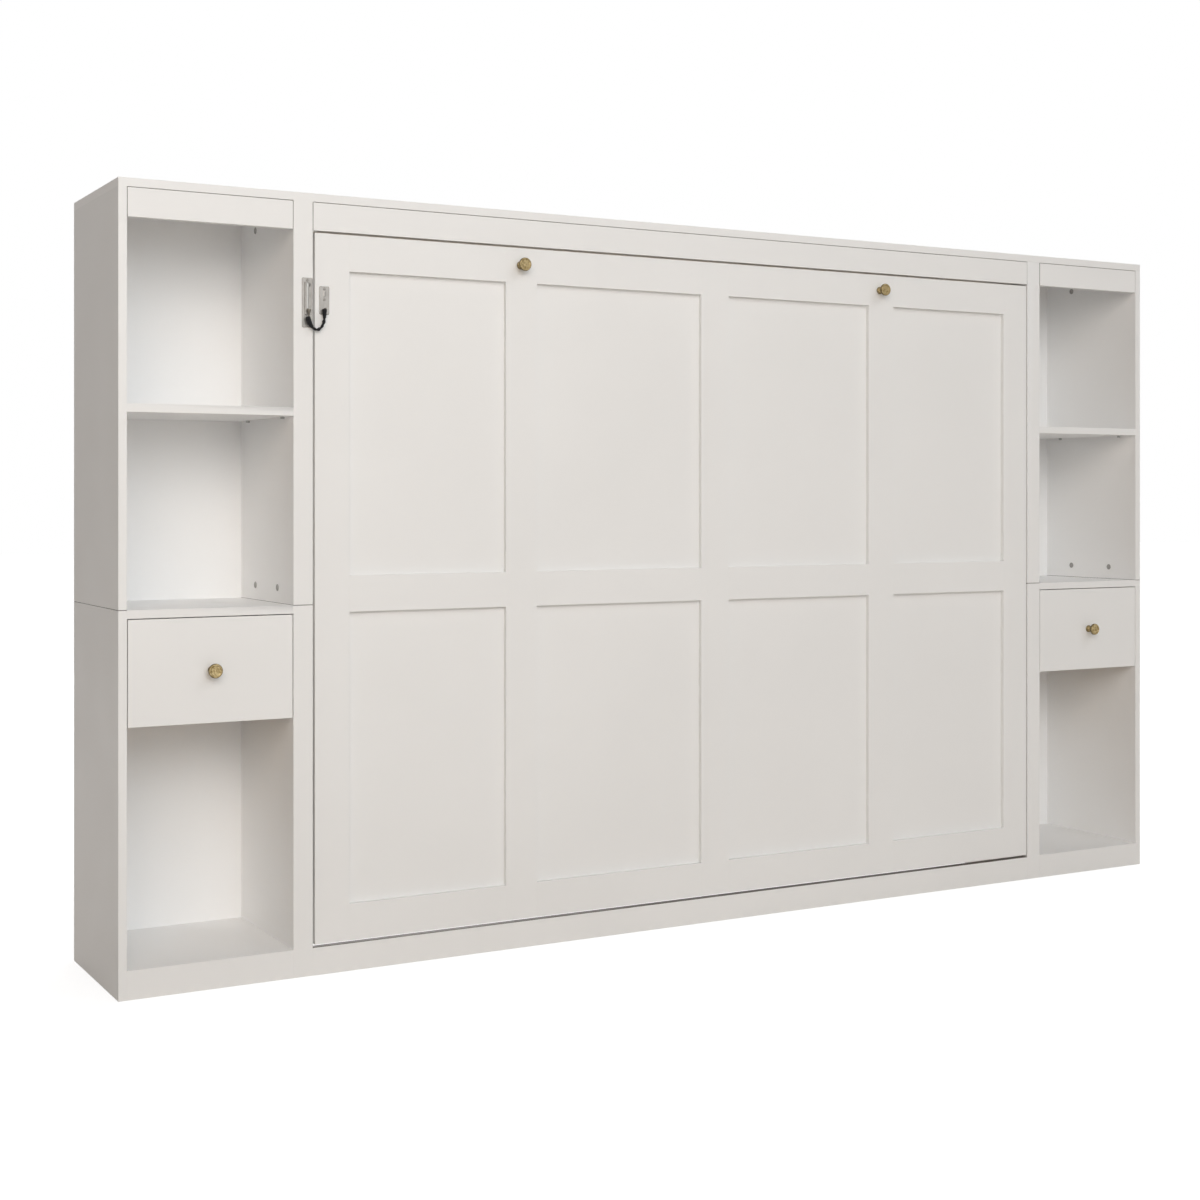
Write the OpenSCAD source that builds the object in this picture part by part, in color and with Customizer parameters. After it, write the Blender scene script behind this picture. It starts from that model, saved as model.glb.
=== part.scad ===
// Wall bed that folds down sideways between two open shelf towers.
// Units are millimetres: X runs along the width, Y from front to back, Z up.
// The origin lies on the floor, under the middle of the closed bed with its knobs.

/* [Mattress] */
// Mattress length, which runs along the cabinet
mattress_l = 1905; // [1880:1:2030]
// Mattress width, which stands upright while the bed is closed
mattress_w = 1372; // [1300:1:1400]

/* [Cabinet] */
// Depth without the knobs
cabinet_d = 385; // [340:1:450]
// Thickness of the cabinet boards
board_t = 18; // [16:1:22]
// Width inside each tower
tower_w = 360; // [300:1:450]
// Thickness of the pillars beside the bed
pillar_t = 44; // [36:1:60]
// Height of the plinth
plinth_h = 61; // [50:1:80]
// Height of the fascias under the top panel
fascia_h = 62; // [50:1:90]
// Shadow gap round each fascia
reveal = 0.6; // [0.4:0.1:0.9]
// Height of the seam between the lower and upper boxes
seam_h = 806; // [800:1:1000]
// Height of the top of the shelf
shelf_h = 1234; // [1100:1:1400]
// Thickness of the tower back panels
back_t = 5; // [3:1:8]
// Distance of the back panels from the rear edge
back_inset = 24; // [20:1:30]
// Diameter of the round cam lock covers
cover_d = 15; // [12:1:18]
// Thickness of the cam lock covers
cover_t = 1.2; // [0.8:0.1:2]
// Distance of the covers from the seam and from the top panel
cover_edge = 34; // [30:1:40]
// Distance of the covers from the front and the rear edge
cover_inset = 103; // [80:1:130]
// Diameter of the shelf pins
shelf_pin_d = 5; // [4:1:8]
// Length of shelf pin that stands out
shelf_pin_l = 8; // [6:1:12]
// Distance of the shelf pins from the front and the back of the shelf
shelf_pin_inset = 60; // [40:1:90]

/* [Door panel] */
// Gap at each side of the door
side_gap = 5; // [5:0.5:8]
// Gap over the door
top_gap = 5; // [4:0.5:8]
// Gap under the door
bottom_gap = 6; // [5:0.5:9]
// Length of door below the bed frame
door_drop = 138; // [120:1:160]
// Thickness of the panel board
panel_t = 6; // [4:1:9]
// Thickness of the stiles and rails on the panel board
trim_t = 12; // [9:1:14]
// Width of the stiles
stile_w = 80; // [60:1:100]
// Height of the rails
rail_w = 80; // [60:1:100]
// Width of the two outer columns of recesses
outer_column_w = 380; // [300:1:420]
// How far the three inner stiles stand to the right of even columns
stile_offs = [3, 14, 5];
// Height of the lower row of recesses
lower_recess_h = 641; // [600:1:700]

/* [Knobs] */
// Diameter of the head
knob_d = 31; // [25:1:40]
// Height over the face it stands on
knob_out = 28; // [22:1:35]
// Diameter of the neck
knob_neck_d = 11; // [8:1:14]
// Diameter of the base
knob_base_d = 19; // [16:1:24]
// Thickness of the base
knob_base_t = 3.5; // [2:0.5:5]
// Thickness of the head at the rim
knob_rim_t = 4.5; // [3:0.5:6]
// Bevel round the flat face
knob_bevel = 2; // [1:0.5:3]

/* [Drawers] */
// Height of the drawer fronts
drawer_front_h = 223; // [180:1:260]
// Gap round the drawer fronts
drawer_gap = 2; // [1.5:0.5:3]
// Height of the drawer boxes
drawer_box_h = 150; // [100:1:160]
// Depth of the drawer boxes
drawer_box_d = 320; // [260:1:325]
// Thickness of the drawer sides
drawer_side_t = 12; // [9:1:15]
// Thickness of the drawer bottom
drawer_bottom_t = 5; // [3:1:8]
// Height of the drawer bottom over the lower edge of the box
drawer_bottom_lift = 10; // [8:1:15]
// Width of the drawer slides at each side
slide_w = 13; // [12:0.5:14]
// Height of the drawer slides
slide_h = 36; // [30:1:46]
// Length of the drawer slides
slide_l = 300; // [240:1:310]
// Wall of the drawer slides
slide_wall = 1.5; // [1:0.1:2]
// Clearance between the two members of a slide
slide_play = 0.5; // [0.3:0.1:1]

/* [Bed frame] */
// Thickness of the frame rails
rail_t = 18; // [16:1:22]
// Depth of the frame rails behind the door
rail_d = 100; // [80:1:120]
// Clearance at each end of the mattress
end_play = 4.5; // [2:0.5:8]
// Clearance at each long side of the mattress
side_play = 1; // [0.5:0.5:4]
// Depth of the slat ledges and the centre beam
ledge_d = 38; // [30:1:44]
// Height of the slat ledges
ledge_h = 20; // [16:1:30]
// Height of the centre beam
beam_h = 40; // [30:1:60]
// Number of slats
slat_count = 14; // [10:1:18]
// Width of the slats
slat_w = 80; // [60:1:100]
// Thickness of the slats
slat_t = 12; // [10:1:16]
// Distance of the end slats from the end rails
slat_margin = 30; // [10:1:60]
// Gap at each end of a slat
slat_gap = 0.5; // [0.3:0.1:2]
// Width of the mattress straps
strap_w = 40; // [30:1:50]
// Thickness of the mattress straps
strap_t = 2; // [1.5:0.5:3]
// Height of the lower strap over the mattress edge
strap_rise = 377; // [300:1:450]
// Length of the stitched strap ends on the end rails
strap_end = 24; // [20:1:30]

/* [Bed pivots] */
// Gap between the bed frame and the pillars
mech_gap = 50; // [46:1:60]
// Distance of the pivots behind the front face
pivot_y = 45; // [45:1:50]
// Height of the pivots over the bottom of the bed frame
pivot_rise = 45; // [40:1:60]
// Diameter of the pivot pins
pin_d = 20; // [16:1:24]
// Diameter of the flange on the pivot pins
pin_flange_d = 32; // [28:1:40]
// Thickness of the flange on the pivot pins
pin_flange_t = 4; // [3:1:6]
// Diameter of the tail of a pivot pin in its bracket
pin_tail_d = 14; // [10:1:15]
// Wall of the pivot bushes
bush_wall = 4; // [3:0.5:5]
// Thickness of the flange on the pivot bushes
bush_flange_t = 2; // [1.5:0.5:3]
// Thickness of the pivot plates on the bed
plate_t = 6; // [5:1:8]
// Radius of the pivot plates round the pivots
plate_r = 25; // [24:1:26]
// Height of the pivot plates over the pivots
plate_rise = 210; // [160:1:260]
// Width of the pivot plates along the end rails
plate_w = 80; // [60:1:90]
// Thickness of the brackets on the pillars
bracket_t = 4; // [3:0.5:4]
// Height of the pivot brackets
bracket_h = 130; // [110:1:160]
// Width of the pivot brackets
bracket_w = 90; // [70:1:110]
// Running clearance of every pin and rod, on the radius
play = 0.05; // [0.03:0.01:0.08]

/* [Gas struts] */
// Distance of the strut stud below the bed pivot
lever_l = 150; // [130:1:160]
// Distance of the strut stud behind the bed pivot
lever_back = 10; // [0:1:20]
// Radius of the pivot plate round the strut stud
lever_r = 16; // [13:1:20]
// Height of the cabinet studs over the bed pivot
strut_rise = 500; // [480:1:560]
// Distance of the cabinet studs behind the bed pivot
strut_back = 100; // [80:1:120]
// Diameter of the cylinders
strut_d = 22; // [18:1:24]
// Wall of the cylinders
strut_wall = 2; // [1.5:0.5:3]
// Length of the cylinders from the cabinet stud
strut_l = 400; // [380:1:420]
// Length of rod that stays inside the cylinder
rod_inside = 70; // [50:1:90]
// Diameter of the rods
rod_d = 10; // [8:1:12]
// Diameter of the studs at both ends
stud_d = 10; // [8:1:12]
// Outer diameter of the strut eyes
eye_d = 20; // [18:1:24]
// Width of the strut eyes
eye_w = 12; // [11.5:0.5:14]
// Length of the solid gland at the mouth of a cylinder
gland_l = 12; // [8:1:16]
// Gap between a rod eye and the stud on the bed
open_gap = 0.3; // [0.2:0.1:0.5]
// Width of the strut anchor plates
anchor_w = 50; // [40:1:60]
// Height of the strut anchor plates
anchor_h = 70; // [60:1:90]

/* [Legs] */
// Side of the square leg bars
leg_w = 20; // [16:1:24]
// Gap between the bed frame and the legs
leg_gap = 8; // [6:1:10]
// Distance of the leg pivots behind the front face
leg_pivot_y = 85; // [80:1:90]
// Distance of the leg pivots below the top of the bed frame
leg_pivot_down = 30; // [28:1:36]
// Sideways step between a leg pivot and its bar
leg_step = 45; // [45:1:48]
// Diameter of the leg pins
leg_pin_d = 12; // [10:1:14]
// Thickness of the leg pin heads
leg_head_t = 4; // [3:1:5]
// Height of the rubber feet
foot_h = 14; // [10:1:20]
// Side of the rubber feet
foot_w = 24; // [20:1:24]

/* [Safety latch] */
// Height of the middle of the track plate
latch_h = 1462; // [1300:1:1480]
// Width of both latch plates
latch_w = 24; // [20:1:26]
// Thickness of both latch plates
latch_t = 2; // [1.5:0.5:2.5]
// Length of the track plate
track_l = 108; // [100:1:120]
// Distance between each latch plate and its side of the door gap
latch_inset = 1; // [0.5:0.5:4]
// Distance of the door plate from the door edge
anchor_inset = 9; // [6:1:12]
// Length of the door plate
anchor_l = 63; // [56:1:70]
// Height of the middle of the door plate over that of the track plate
anchor_lift = 6.5; // [0:0.5:10]
// Outer width of the raised channel
channel_w = 13; // [11:1:15]
// Height of the raised channel over the plate
channel_out = 4; // [3:0.5:5]
// Wall of the raised channel
channel_wall = 1; // [0.8:0.1:1.2]
// Width of the slot
slot_w = 5; // [4:0.5:6]
// Length of the slot
slot_l = 58; // [50:1:60]
// Distance of the top of the slot below the top of the track plate
slot_down = 16; // [14:1:20]
// Length of channel beyond each end of the slot
channel_over = 7; // [6:0.5:8]
// Diameter of the release hole at the top of the slot
release_d = 9.6; // [9:0.1:10]
// Diameter of the latch screw heads
screw_d = 6.5; // [5:0.5:8]
// Height of the latch screw heads
screw_out = 1.6; // [1:0.1:2]
// Diameter of the head of the sliding stud
slider_d = 8.6; // [8:0.1:9]
// Thickness of the head of the sliding stud
slider_t = 1.5; // [1:0.1:2]
// Diameter of the cone that hangs on the sliding stud
cone_d = 9; // [7:0.5:9]
// Height of the cone
cone_h = 9; // [7:0.5:11]
// Diameter of the link below the cone and of the peg on the door plate
link_d = 2.4; // [2:0.1:3]
// Distance of the chain in front of the door
chain_out = 11; // [10.5:0.5:12]
// Diameter of the sleeve over the safety chain
sleeve_d = 6; // [5:0.5:7]
// Diameter of the thick sleeve ends
sleeve_end_d = 9; // [7:0.5:10]

/* [Wall fixing] */
// Height of the wall rails
wall_rail_h = 100; // [80:1:120]
// Diameter of the wall fixing holes
wall_hole_d = 6.5; // [5:0.5:9]
// Distance between the wall fixing holes along each rail
wall_hole_span = 1600; // [1200:10:1800]

/* [Hidden] */
$fn = 64;

paint = [0.88, 0.877, 0.86];
wood = [0.78, 0.66, 0.48];
brass = [0.6, 0.52, 0.33];
steel = [0.7, 0.69, 0.67];
dark_steel = [0.35, 0.35, 0.36];
grey_plastic = [0.6, 0.59, 0.58];
black_rubber = [0.06, 0.06, 0.065];
webbing = [0.25, 0.25, 0.27];

// Bed frame, as lengths from the middle and heights from the floor
frame_x = mattress_l / 2 + end_play + rail_t;
frame_in_x = frame_x - rail_t;
door_z0 = plinth_h + bottom_gap;
frame_z0 = door_z0 + door_drop;
frame_z1 = frame_z0 + mattress_w + 2 * (side_play + rail_t);
frame_in_z0 = frame_z0 + rail_t;
frame_in_z1 = frame_z1 - rail_t;
door_z1 = frame_z1;

// Bed bay, pillars, towers and the outline
bay_x = frame_x + mech_gap;
door_x = bay_x - side_gap;
pillar_x = bay_x + pillar_t;
tower_x = pillar_x + tower_w;
outer_x = tower_x + board_t;
tower_mid_x = (pillar_x + tower_x) / 2;
fascia_z0 = door_z1 + top_gap;
top_z0 = fascia_z0 + fascia_h;
cabinet_h = top_z0 + board_t;
floor_z0 = plinth_h - board_t;
back_y = cabinet_d - back_inset - back_t;
front_y = -(cabinet_d - knob_out) / 2;

// Door layout
door_w = 2 * door_x;
door_h = door_z1 - door_z0;
inner_column_w = (door_w - 5 * stile_w - 2 * outer_column_w) / 2;
stile_pitches = [0, outer_column_w + stile_offs[0],
    outer_column_w + inner_column_w + stile_offs[1],
    outer_column_w + 2 * inner_column_w + stile_offs[2],
    2 * outer_column_w + 2 * inner_column_w];
knob_stile_x = door_x - outer_column_w - 1.5 * stile_w;
mid_rail_z0 = door_z0 + rail_w + lower_recess_h;
door_t = panel_t + trim_t;
knob_head_t = knob_rim_t + knob_bevel;

// Drawers hang close under the middle boards
drawer_z1 = seam_h - board_t - drawer_gap;
drawer_z0 = drawer_z1 - drawer_front_h;
drawer_box_x = tower_w / 2 - slide_w;
drawer_box_z0 = (drawer_z0 + drawer_z1) / 2 - drawer_box_h / 2;
slide_mid_z = drawer_box_z0 + drawer_box_h / 2;

// Slats, ledges and beam lie on the back of the door
slat_y = door_t + ledge_d;
slat_l = frame_in_z1 - frame_in_z0 - 2 * slat_gap;
slat_pitch = (2 * (frame_in_x - slat_margin) - slat_w) / (slat_count - 1);
strap_zs = [frame_in_z0 + side_play + strap_rise, frame_in_z1 - side_play - strap_rise];

// Bed pivot, strut studs and strut lengths in the side gap
pivot_z = frame_z0 + pivot_rise;
lever_y = pivot_y + lever_back;
lever_z = pivot_z - lever_l;
anchor_y = pivot_y + strut_back;
anchor_z = pivot_z + strut_rise;
strut_x = frame_x + mech_gap / 2;
strut_tilt = atan2(lever_y - anchor_y, anchor_z - lever_z);
strut_open_l = norm([lever_y - anchor_y, lever_z - anchor_z]);
bracket_x = bay_x - bracket_t;
bush_r = pin_d / 2 + play + bush_wall;

// Legs hang from pins on the end rails and reach the floor when the bed is open
leg_x = frame_x + leg_gap;
leg_pivot_z = frame_z1 - leg_pivot_down;
leg_l = pivot_z + leg_pivot_y - pivot_y;
leg_bar_y = leg_pivot_y - leg_step;

// Safety latch beside the left edge of the door
track_x = -(bay_x + latch_inset + latch_w / 2);
latch_anchor_x = -(door_x - anchor_inset - latch_w / 2);
gap_x = -(bay_x + door_x) / 2;
slot_z1 = latch_h + track_l / 2 - slot_down;
slot_z0 = slot_z1 - slot_l;
slider_z = slot_z0 + slot_w / 2 + play;
channel_z0 = slot_z0 - channel_over;
channel_z1 = slot_z1 + channel_over;
cone_z0 = slider_z + 2.5 - cone_h;

// Route of the sleeved chain from the sliding stud to the peg on the door plate:
// offset from the middle of the door gap, depth behind the chain plane, height over
// the latch, and 1 where the thick sleeve ends are
cord_route = [[-15.5, 0, -31, 1], [-14, 0, -38, 1], [-11, 0, -45, 1], [-8.5, 0, -49.5, 0],
    [-4, 0, -54.5, 0], [1, 0, -57.8, 0], [6.5, 0, -58.8, 0], [12, 0, -56.8, 0],
    [17, 0, -52, 0], [20.5, 0, -45, 0], [22.5, 0.3, -37.5, 0], [23.2, 0.6, -30, 0],
    [23.4, 0.8, -26, 1], [23.5, 1, -20, 1], [23.5, 1, -13, 1]];
cord_start_z = latch_h + cord_route[0][2];
cord_end_z = latch_h + cord_route[len(cord_route) - 1][2];
peg_z = cord_end_z + link_d / 2 + open_gap;

// Places a piece drawn from the front face of the cabinet into the part's frame
module in_frame() {
    translate([0, front_y, 0]) children();
}

// Draws a child once at the right and once mirrored at the left
module both_sides() {
    children();
    mirror([1, 0, 0]) children();
}

module on_side(side) {
    if (side > 0) children();
    else mirror([1, 0, 0]) children();
}

// Board between two corners
module board(low, high) {
    translate(low) cube(high - low);
}

// Flat outline in the Y-Z plane, as thick as t along X
module yz_plate(x, t) {
    translate([x, 0, 0]) rotate([90, 0, 90]) linear_extrude(t) children();
}

// Round bar along X
module x_bar(x, y, z, d, l) {
    translate([x, y, z]) rotate([0, 90, 0]) cylinder(d = d, h = l);
}

// Round bar along Y, from the front backwards
module y_bar(x, y, z, d, l) {
    translate([x, y + l, z]) rotate([90, 0, 0]) cylinder(d = d, h = l);
}

// Turned mushroom knob that stands on the face at the front plane
module knob(x, z) {
    r = knob_d / 2;
    neck = knob_neck_d / 2;
    base = knob_base_d / 2;
    translate([x, 0, z]) rotate([90, 0, 0]) rotate_extrude()
        polygon([[0, 0], [base, 0], [base, knob_base_t - 1], [base - 1, knob_base_t],
            [neck + 1, knob_base_t + 0.5], [neck, knob_base_t + 3],
            [neck, knob_out - knob_head_t - 7], [neck + 2, knob_out - knob_head_t - 3.5],
            [r - 4, knob_out - knob_head_t - 1], [r, knob_out - knob_head_t + 0.5],
            [r, knob_out - knob_bevel], [r - knob_bevel, knob_out], [0, knob_out]]);
}

// Cabinet boards
module top_panel() {
    color(paint) in_frame() board([-outer_x, 0, top_z0], [outer_x, cabinet_d, cabinet_h]);
}

module outer_side(side, z0, z1) {
    color(paint) in_frame() on_side(side) board([tower_x, 0, z0], [outer_x, cabinet_d, z1]);
}

module pillar(side, z0, z1) {
    color(paint) in_frame() on_side(side) board([bay_x, 0, z0], [pillar_x, cabinet_d, z1]);
}

// Board across the inside of both towers
module tower_boards(z1, y0) {
    color(paint) in_frame() both_sides()
        board([pillar_x, y0, z1 - board_t], [tower_x, back_y, z1]);
}

module tower_back_panels() {
    color(paint) in_frame() both_sides()
        board([pillar_x, back_y, floor_z0], [tower_x, back_y + back_t, top_z0]);
}

module fascia(x0, x1) {
    board([x0 + reveal, 0, fascia_z0], [x1 - reveal, board_t, top_z0 - reveal]);
}

module tower_fascias() {
    color(paint) in_frame() both_sides() fascia(pillar_x, tower_x);
}

module bed_fascia() {
    color(paint) in_frame() fascia(-bay_x, bay_x);
}

module tower_plinths() {
    color(paint) in_frame() both_sides() board([pillar_x, 0, 0], [tower_x, board_t, plinth_h]);
}

module bed_plinth() {
    color(paint) in_frame() board([-bay_x, 0, 0], [bay_x, board_t, plinth_h]);
}

// Rail across the back of the bed bay, drilled for two wall screws
module wall_rail(z0) {
    color(paint) in_frame() difference() {
        board([-bay_x, cabinet_d - board_t, z0], [bay_x, cabinet_d, z0 + wall_rail_h]);
        for (side = [-1, 1])
            y_bar(side * wall_hole_span / 2, cabinet_d - board_t - 1, z0 + wall_rail_h / 2,
                wall_hole_d, board_t + 2);
    }
}

// Round covers over the cam locks, on both inner faces of each tower
module cam_lock_covers() {
    color(grey_plastic) in_frame() both_sides()
        for (y = [cover_inset, back_y - cover_inset],
            z = [seam_h + cover_edge, top_z0 - cover_edge],
            x = [pillar_x, tower_x - cover_t])
            x_bar(x, y, z, cover_d, cover_t);
}

// Four pins carry each shelf
module shelf_pins() {
    color(steel) in_frame() both_sides()
        for (y = [shelf_pin_inset, back_y - shelf_pin_inset], x = [pillar_x, tower_x - shelf_pin_l])
            x_bar(x, y, shelf_h - board_t - shelf_pin_d / 2, shelf_pin_d, shelf_pin_l);
}

// Bed pivot: a drilled bracket on each pillar and a shouldered pin in it
module pivot_brackets() {
    color(steel) in_frame() both_sides() difference() {
        board([bracket_x, pivot_y - plate_r, pivot_z - bracket_h / 2],
            [bay_x, pivot_y - plate_r + bracket_w, pivot_z + bracket_h / 2]);
        x_bar(bracket_x - 1, pivot_y, pivot_z, pin_tail_d + 2 * play, bracket_t + 2);
    }
}

module pivot_pins() {
    color(dark_steel) in_frame() both_sides() {
        x_bar(frame_x + 1.5, pivot_y, pivot_z, pin_d, bracket_x - frame_x - 1.5);
        x_bar(bracket_x - pin_flange_t, pivot_y, pivot_z, pin_flange_d, pin_flange_t);
        x_bar(bracket_x, pivot_y, pivot_z, pin_tail_d, bracket_t);
    }
}

// Plate and stud that hold the upper eye of each gas strut
module strut_anchors() {
    color(steel) in_frame() both_sides() {
        board([bracket_x, anchor_y - anchor_w / 2, anchor_z - anchor_h / 2],
            [bay_x, anchor_y + anchor_w / 2, anchor_z + anchor_h / 2]);
        x_bar(strut_x - eye_w / 2 - 3, anchor_y, anchor_z, stud_d,
            bracket_x - strut_x + eye_w / 2 + 3);
    }
}

// Cabinet member of a drawer slide: a channel that opens towards the drawer
module track(x, dir) {
    w = slide_w - slide_wall - slide_play;
    for (z = [slide_mid_z - slide_h / 2, slide_mid_z + slide_h / 2 - slide_wall])
        board([min(x, x + dir * w), door_t + 2, z],
            [max(x, x + dir * w), door_t + 2 + slide_l, z + slide_wall]);
    board([min(x, x + dir * slide_wall), door_t + 2, slide_mid_z - slide_h / 2],
        [max(x, x + dir * slide_wall), door_t + 2 + slide_l, slide_mid_z + slide_h / 2]);
}

module drawer_tracks() {
    color(steel) in_frame() both_sides() {
        track(pillar_x, 1);
        track(tower_x, -1);
    }
}

// Drawer member of a slide: a channel on the drawer side, inside the track
module runner(x, dir) {
    w = slide_w - slide_wall - slide_play;
    h = slide_h - 2 * (slide_wall + slide_play);
    for (z = [slide_mid_z - h / 2, slide_mid_z + h / 2 - slide_wall])
        board([min(x, x - dir * w), door_t + 2, z],
            [max(x, x - dir * w), door_t + 2 + slide_l, z + slide_wall]);
    board([min(x, x - dir * slide_wall), door_t + 2, slide_mid_z - h / 2],
        [max(x, x - dir * slide_wall), door_t + 2 + slide_l, slide_mid_z + h / 2]);
}

module drawer_runners(side) {
    color(steel) in_frame() on_side(side) {
        runner(tower_mid_x - drawer_box_x, 1);
        runner(tower_mid_x + drawer_box_x, -1);
    }
}

module drawer_front(side) {
    w = tower_w / 2 - drawer_gap;
    color(paint) in_frame() on_side(side)
        board([tower_mid_x - w, 0, drawer_z0], [tower_mid_x + w, board_t, drawer_z1]);
}

// Open box whose bottom sits in grooves of its four sides
module drawer_box(side) {
    x = drawer_box_x;
    y1 = board_t + drawer_box_d;
    z0 = drawer_box_z0;
    color(wood) in_frame() on_side(side) translate([tower_mid_x, 0, 0]) difference() {
        board([-x, board_t, z0], [x, y1, z0 + drawer_box_h]);
        board([-x + drawer_side_t, board_t + drawer_side_t,
            z0 + drawer_bottom_lift + drawer_bottom_t],
            [x - drawer_side_t, y1 - drawer_side_t, z0 + drawer_box_h + 1]);
        board([-x + drawer_side_t, board_t + drawer_side_t, z0 - 1],
            [x - drawer_side_t, y1 - drawer_side_t, z0 + drawer_bottom_lift]);
    }
}

module drawer_knob(side) {
    color(brass) in_frame() on_side(side) knob(tower_mid_x, (drawer_z0 + drawer_z1) / 2);
}

// Door: a thin board with stiles and rails on its face
module front_board() {
    color(paint) in_frame() board([-door_x, trim_t, door_z0], [door_x, door_t, door_z1]);
}

module front_stiles() {
    color(paint) in_frame() for (i = [0:4]) {
        x = -door_x + stile_pitches[i] + i * stile_w;
        board([x, 0, door_z0], [x + stile_w, trim_t, door_z1]);
    }
}

module front_rails() {
    color(paint) in_frame() for (i = [0:3], z = [door_z0, mid_rail_z0, door_z1 - rail_w])
        board([-door_x + stile_pitches[i] + (i + 1) * stile_w, 0, z],
            [-door_x + stile_pitches[i + 1] + (i + 1) * stile_w, trim_t, z + rail_w]);
}

module front_knobs() {
    color(brass) in_frame() both_sides() knob(knob_stile_x, door_z1 - rail_w / 2);
}

// Bed frame behind the door
module frame_long_rails() {
    color(wood) in_frame() for (z = [frame_z0, frame_in_z1])
        board([-frame_x, door_t, z], [frame_x, door_t + rail_d, z + rail_t]);
}

module frame_end_rails() {
    color(wood) in_frame() both_sides()
        board([frame_in_x, door_t, frame_in_z0], [frame_x, door_t + rail_d, frame_in_z1]);
}

module frame_center_beam() {
    z = (frame_in_z0 + frame_in_z1) / 2;
    color(wood) in_frame()
        board([-frame_in_x, door_t, z - beam_h / 2], [frame_in_x, slat_y, z + beam_h / 2]);
}

module slat_ledges() {
    color(wood) in_frame() for (z = [frame_in_z0, frame_in_z1 - ledge_h])
        board([-frame_in_x, door_t, z], [frame_in_x, slat_y, z + ledge_h]);
}

module slats() {
    color(wood) in_frame() for (i = [0:slat_count - 1]) {
        x = -frame_in_x + slat_margin + i * slat_pitch;
        board([x, slat_y, frame_in_z0 + slat_gap],
            [x + slat_w, slat_y + slat_t, frame_in_z0 + slat_gap + slat_l]);
    }
}

// Flat webbing over the slats, with its ends turned up on the end rails
module mattress_straps() {
    y = slat_y + slat_t;
    color(webbing) in_frame() for (z = strap_zs) {
        board([-frame_in_x, y, z - strap_w / 2], [frame_in_x, y + strap_t, z + strap_w / 2]);
        both_sides() board([frame_in_x - strap_t, y, z - strap_w / 2],
            [frame_in_x, y + strap_end, z + strap_w / 2]);
    }
}

// Plate on each end rail: it turns on the bed pivot and carries the strut stud
module pivot_plates() {
    color(steel) in_frame() both_sides() {
        yz_plate(frame_x, plate_t) difference() {
            union() {
                translate([pivot_y, pivot_z]) circle(plate_r);
                translate([lever_y, lever_z]) circle(lever_r);
                polygon([[pivot_y - plate_r, pivot_z], [pivot_y + plate_r, pivot_z],
                    [lever_y + lever_r, lever_z], [lever_y - lever_r, lever_z]]);
                translate([pivot_y - plate_r, pivot_z]) square([plate_w, plate_rise]);
            }
            translate([pivot_y, pivot_z]) circle(bush_r);
        }
        x_bar(frame_x + plate_t, lever_y, lever_z, stud_d,
            mech_gap / 2 - eye_w / 2 - open_gap - plate_t);
    }
}

// Flanged bush in the bore of each pivot plate
module pivot_bushes() {
    color(dark_steel) in_frame() both_sides() difference() {
        union() {
            x_bar(frame_x, pivot_y, pivot_z, 2 * bush_r, plate_t);
            x_bar(frame_x + plate_t, pivot_y, pivot_z, 2 * bush_r + 6, bush_flange_t);
        }
        x_bar(frame_x - 1, pivot_y, pivot_z, pin_d + 2 * play, plate_t + bush_flange_t + 2);
    }
}

// Pins on the end rails, with a collar behind each leg and a head in front of it
module leg_pins() {
    color(dark_steel) in_frame() both_sides() {
        x_bar(frame_x, leg_pivot_y, leg_pivot_z, leg_pin_d + 6, leg_gap - open_gap);
        x_bar(frame_x, leg_pivot_y, leg_pivot_z, leg_pin_d, leg_gap + leg_w + open_gap);
        x_bar(leg_x + leg_w + open_gap, leg_pivot_y, leg_pivot_z, leg_pin_d + 8, leg_head_t);
    }
}

// Cranked leg: it steps to the front at its pin and then hangs down
module leg(side) {
    h = leg_w / 2;
    color(dark_steel) in_frame() on_side(side) yz_plate(leg_x, leg_w) difference() {
        union() {
            translate([leg_pivot_y, leg_pivot_z]) circle(h + 2);
            translate([leg_bar_y - h, leg_pivot_z - h]) square([leg_step + h, leg_w]);
            translate([leg_bar_y - h, leg_pivot_z - leg_l + foot_h])
                square([leg_w, leg_l - foot_h]);
        }
        translate([leg_pivot_y, leg_pivot_z]) circle(leg_pin_d / 2 + play);
    }
}

module leg_foot(side) {
    z = leg_pivot_z - leg_l;
    color(black_rubber) in_frame() on_side(side)
        board([leg_x + leg_w / 2 - foot_w / 2, leg_bar_y - foot_w / 2, z],
            [leg_x + leg_w / 2 + foot_w / 2, leg_bar_y + foot_w / 2, z + foot_h]);
}

// Places a strut piece at the cabinet stud, with its rod pointing down
module strut_place(side) {
    in_frame() on_side(side)
        translate([strut_x, anchor_y, anchor_z]) rotate([strut_tilt, 0, 0]) children();
}

module strut_eye(z) {
    difference() {
        x_bar(-eye_w / 2, 0, z, eye_d, eye_w);
        x_bar(-eye_w / 2 - 1, 0, z, stud_d + 2 * play, eye_w + 2);
    }
}

module strut_cylinder(side) {
    neck = eye_d / 2 - 1;
    color(dark_steel) strut_place(side) {
        strut_eye(0);
        difference() {
            translate([0, 0, -strut_l]) cylinder(d = strut_d, h = strut_l - neck);
            translate([0, 0, -strut_l + gland_l])
                cylinder(d = strut_d - 2 * strut_wall, h = strut_l - gland_l - neck - 10);
            translate([0, 0, -strut_l - 1]) cylinder(d = rod_d + 2 * play, h = gland_l + 2);
            x_bar(-strut_d, 0, 0, stud_d + 2 * play, 2 * strut_d);
        }
    }
}

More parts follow.
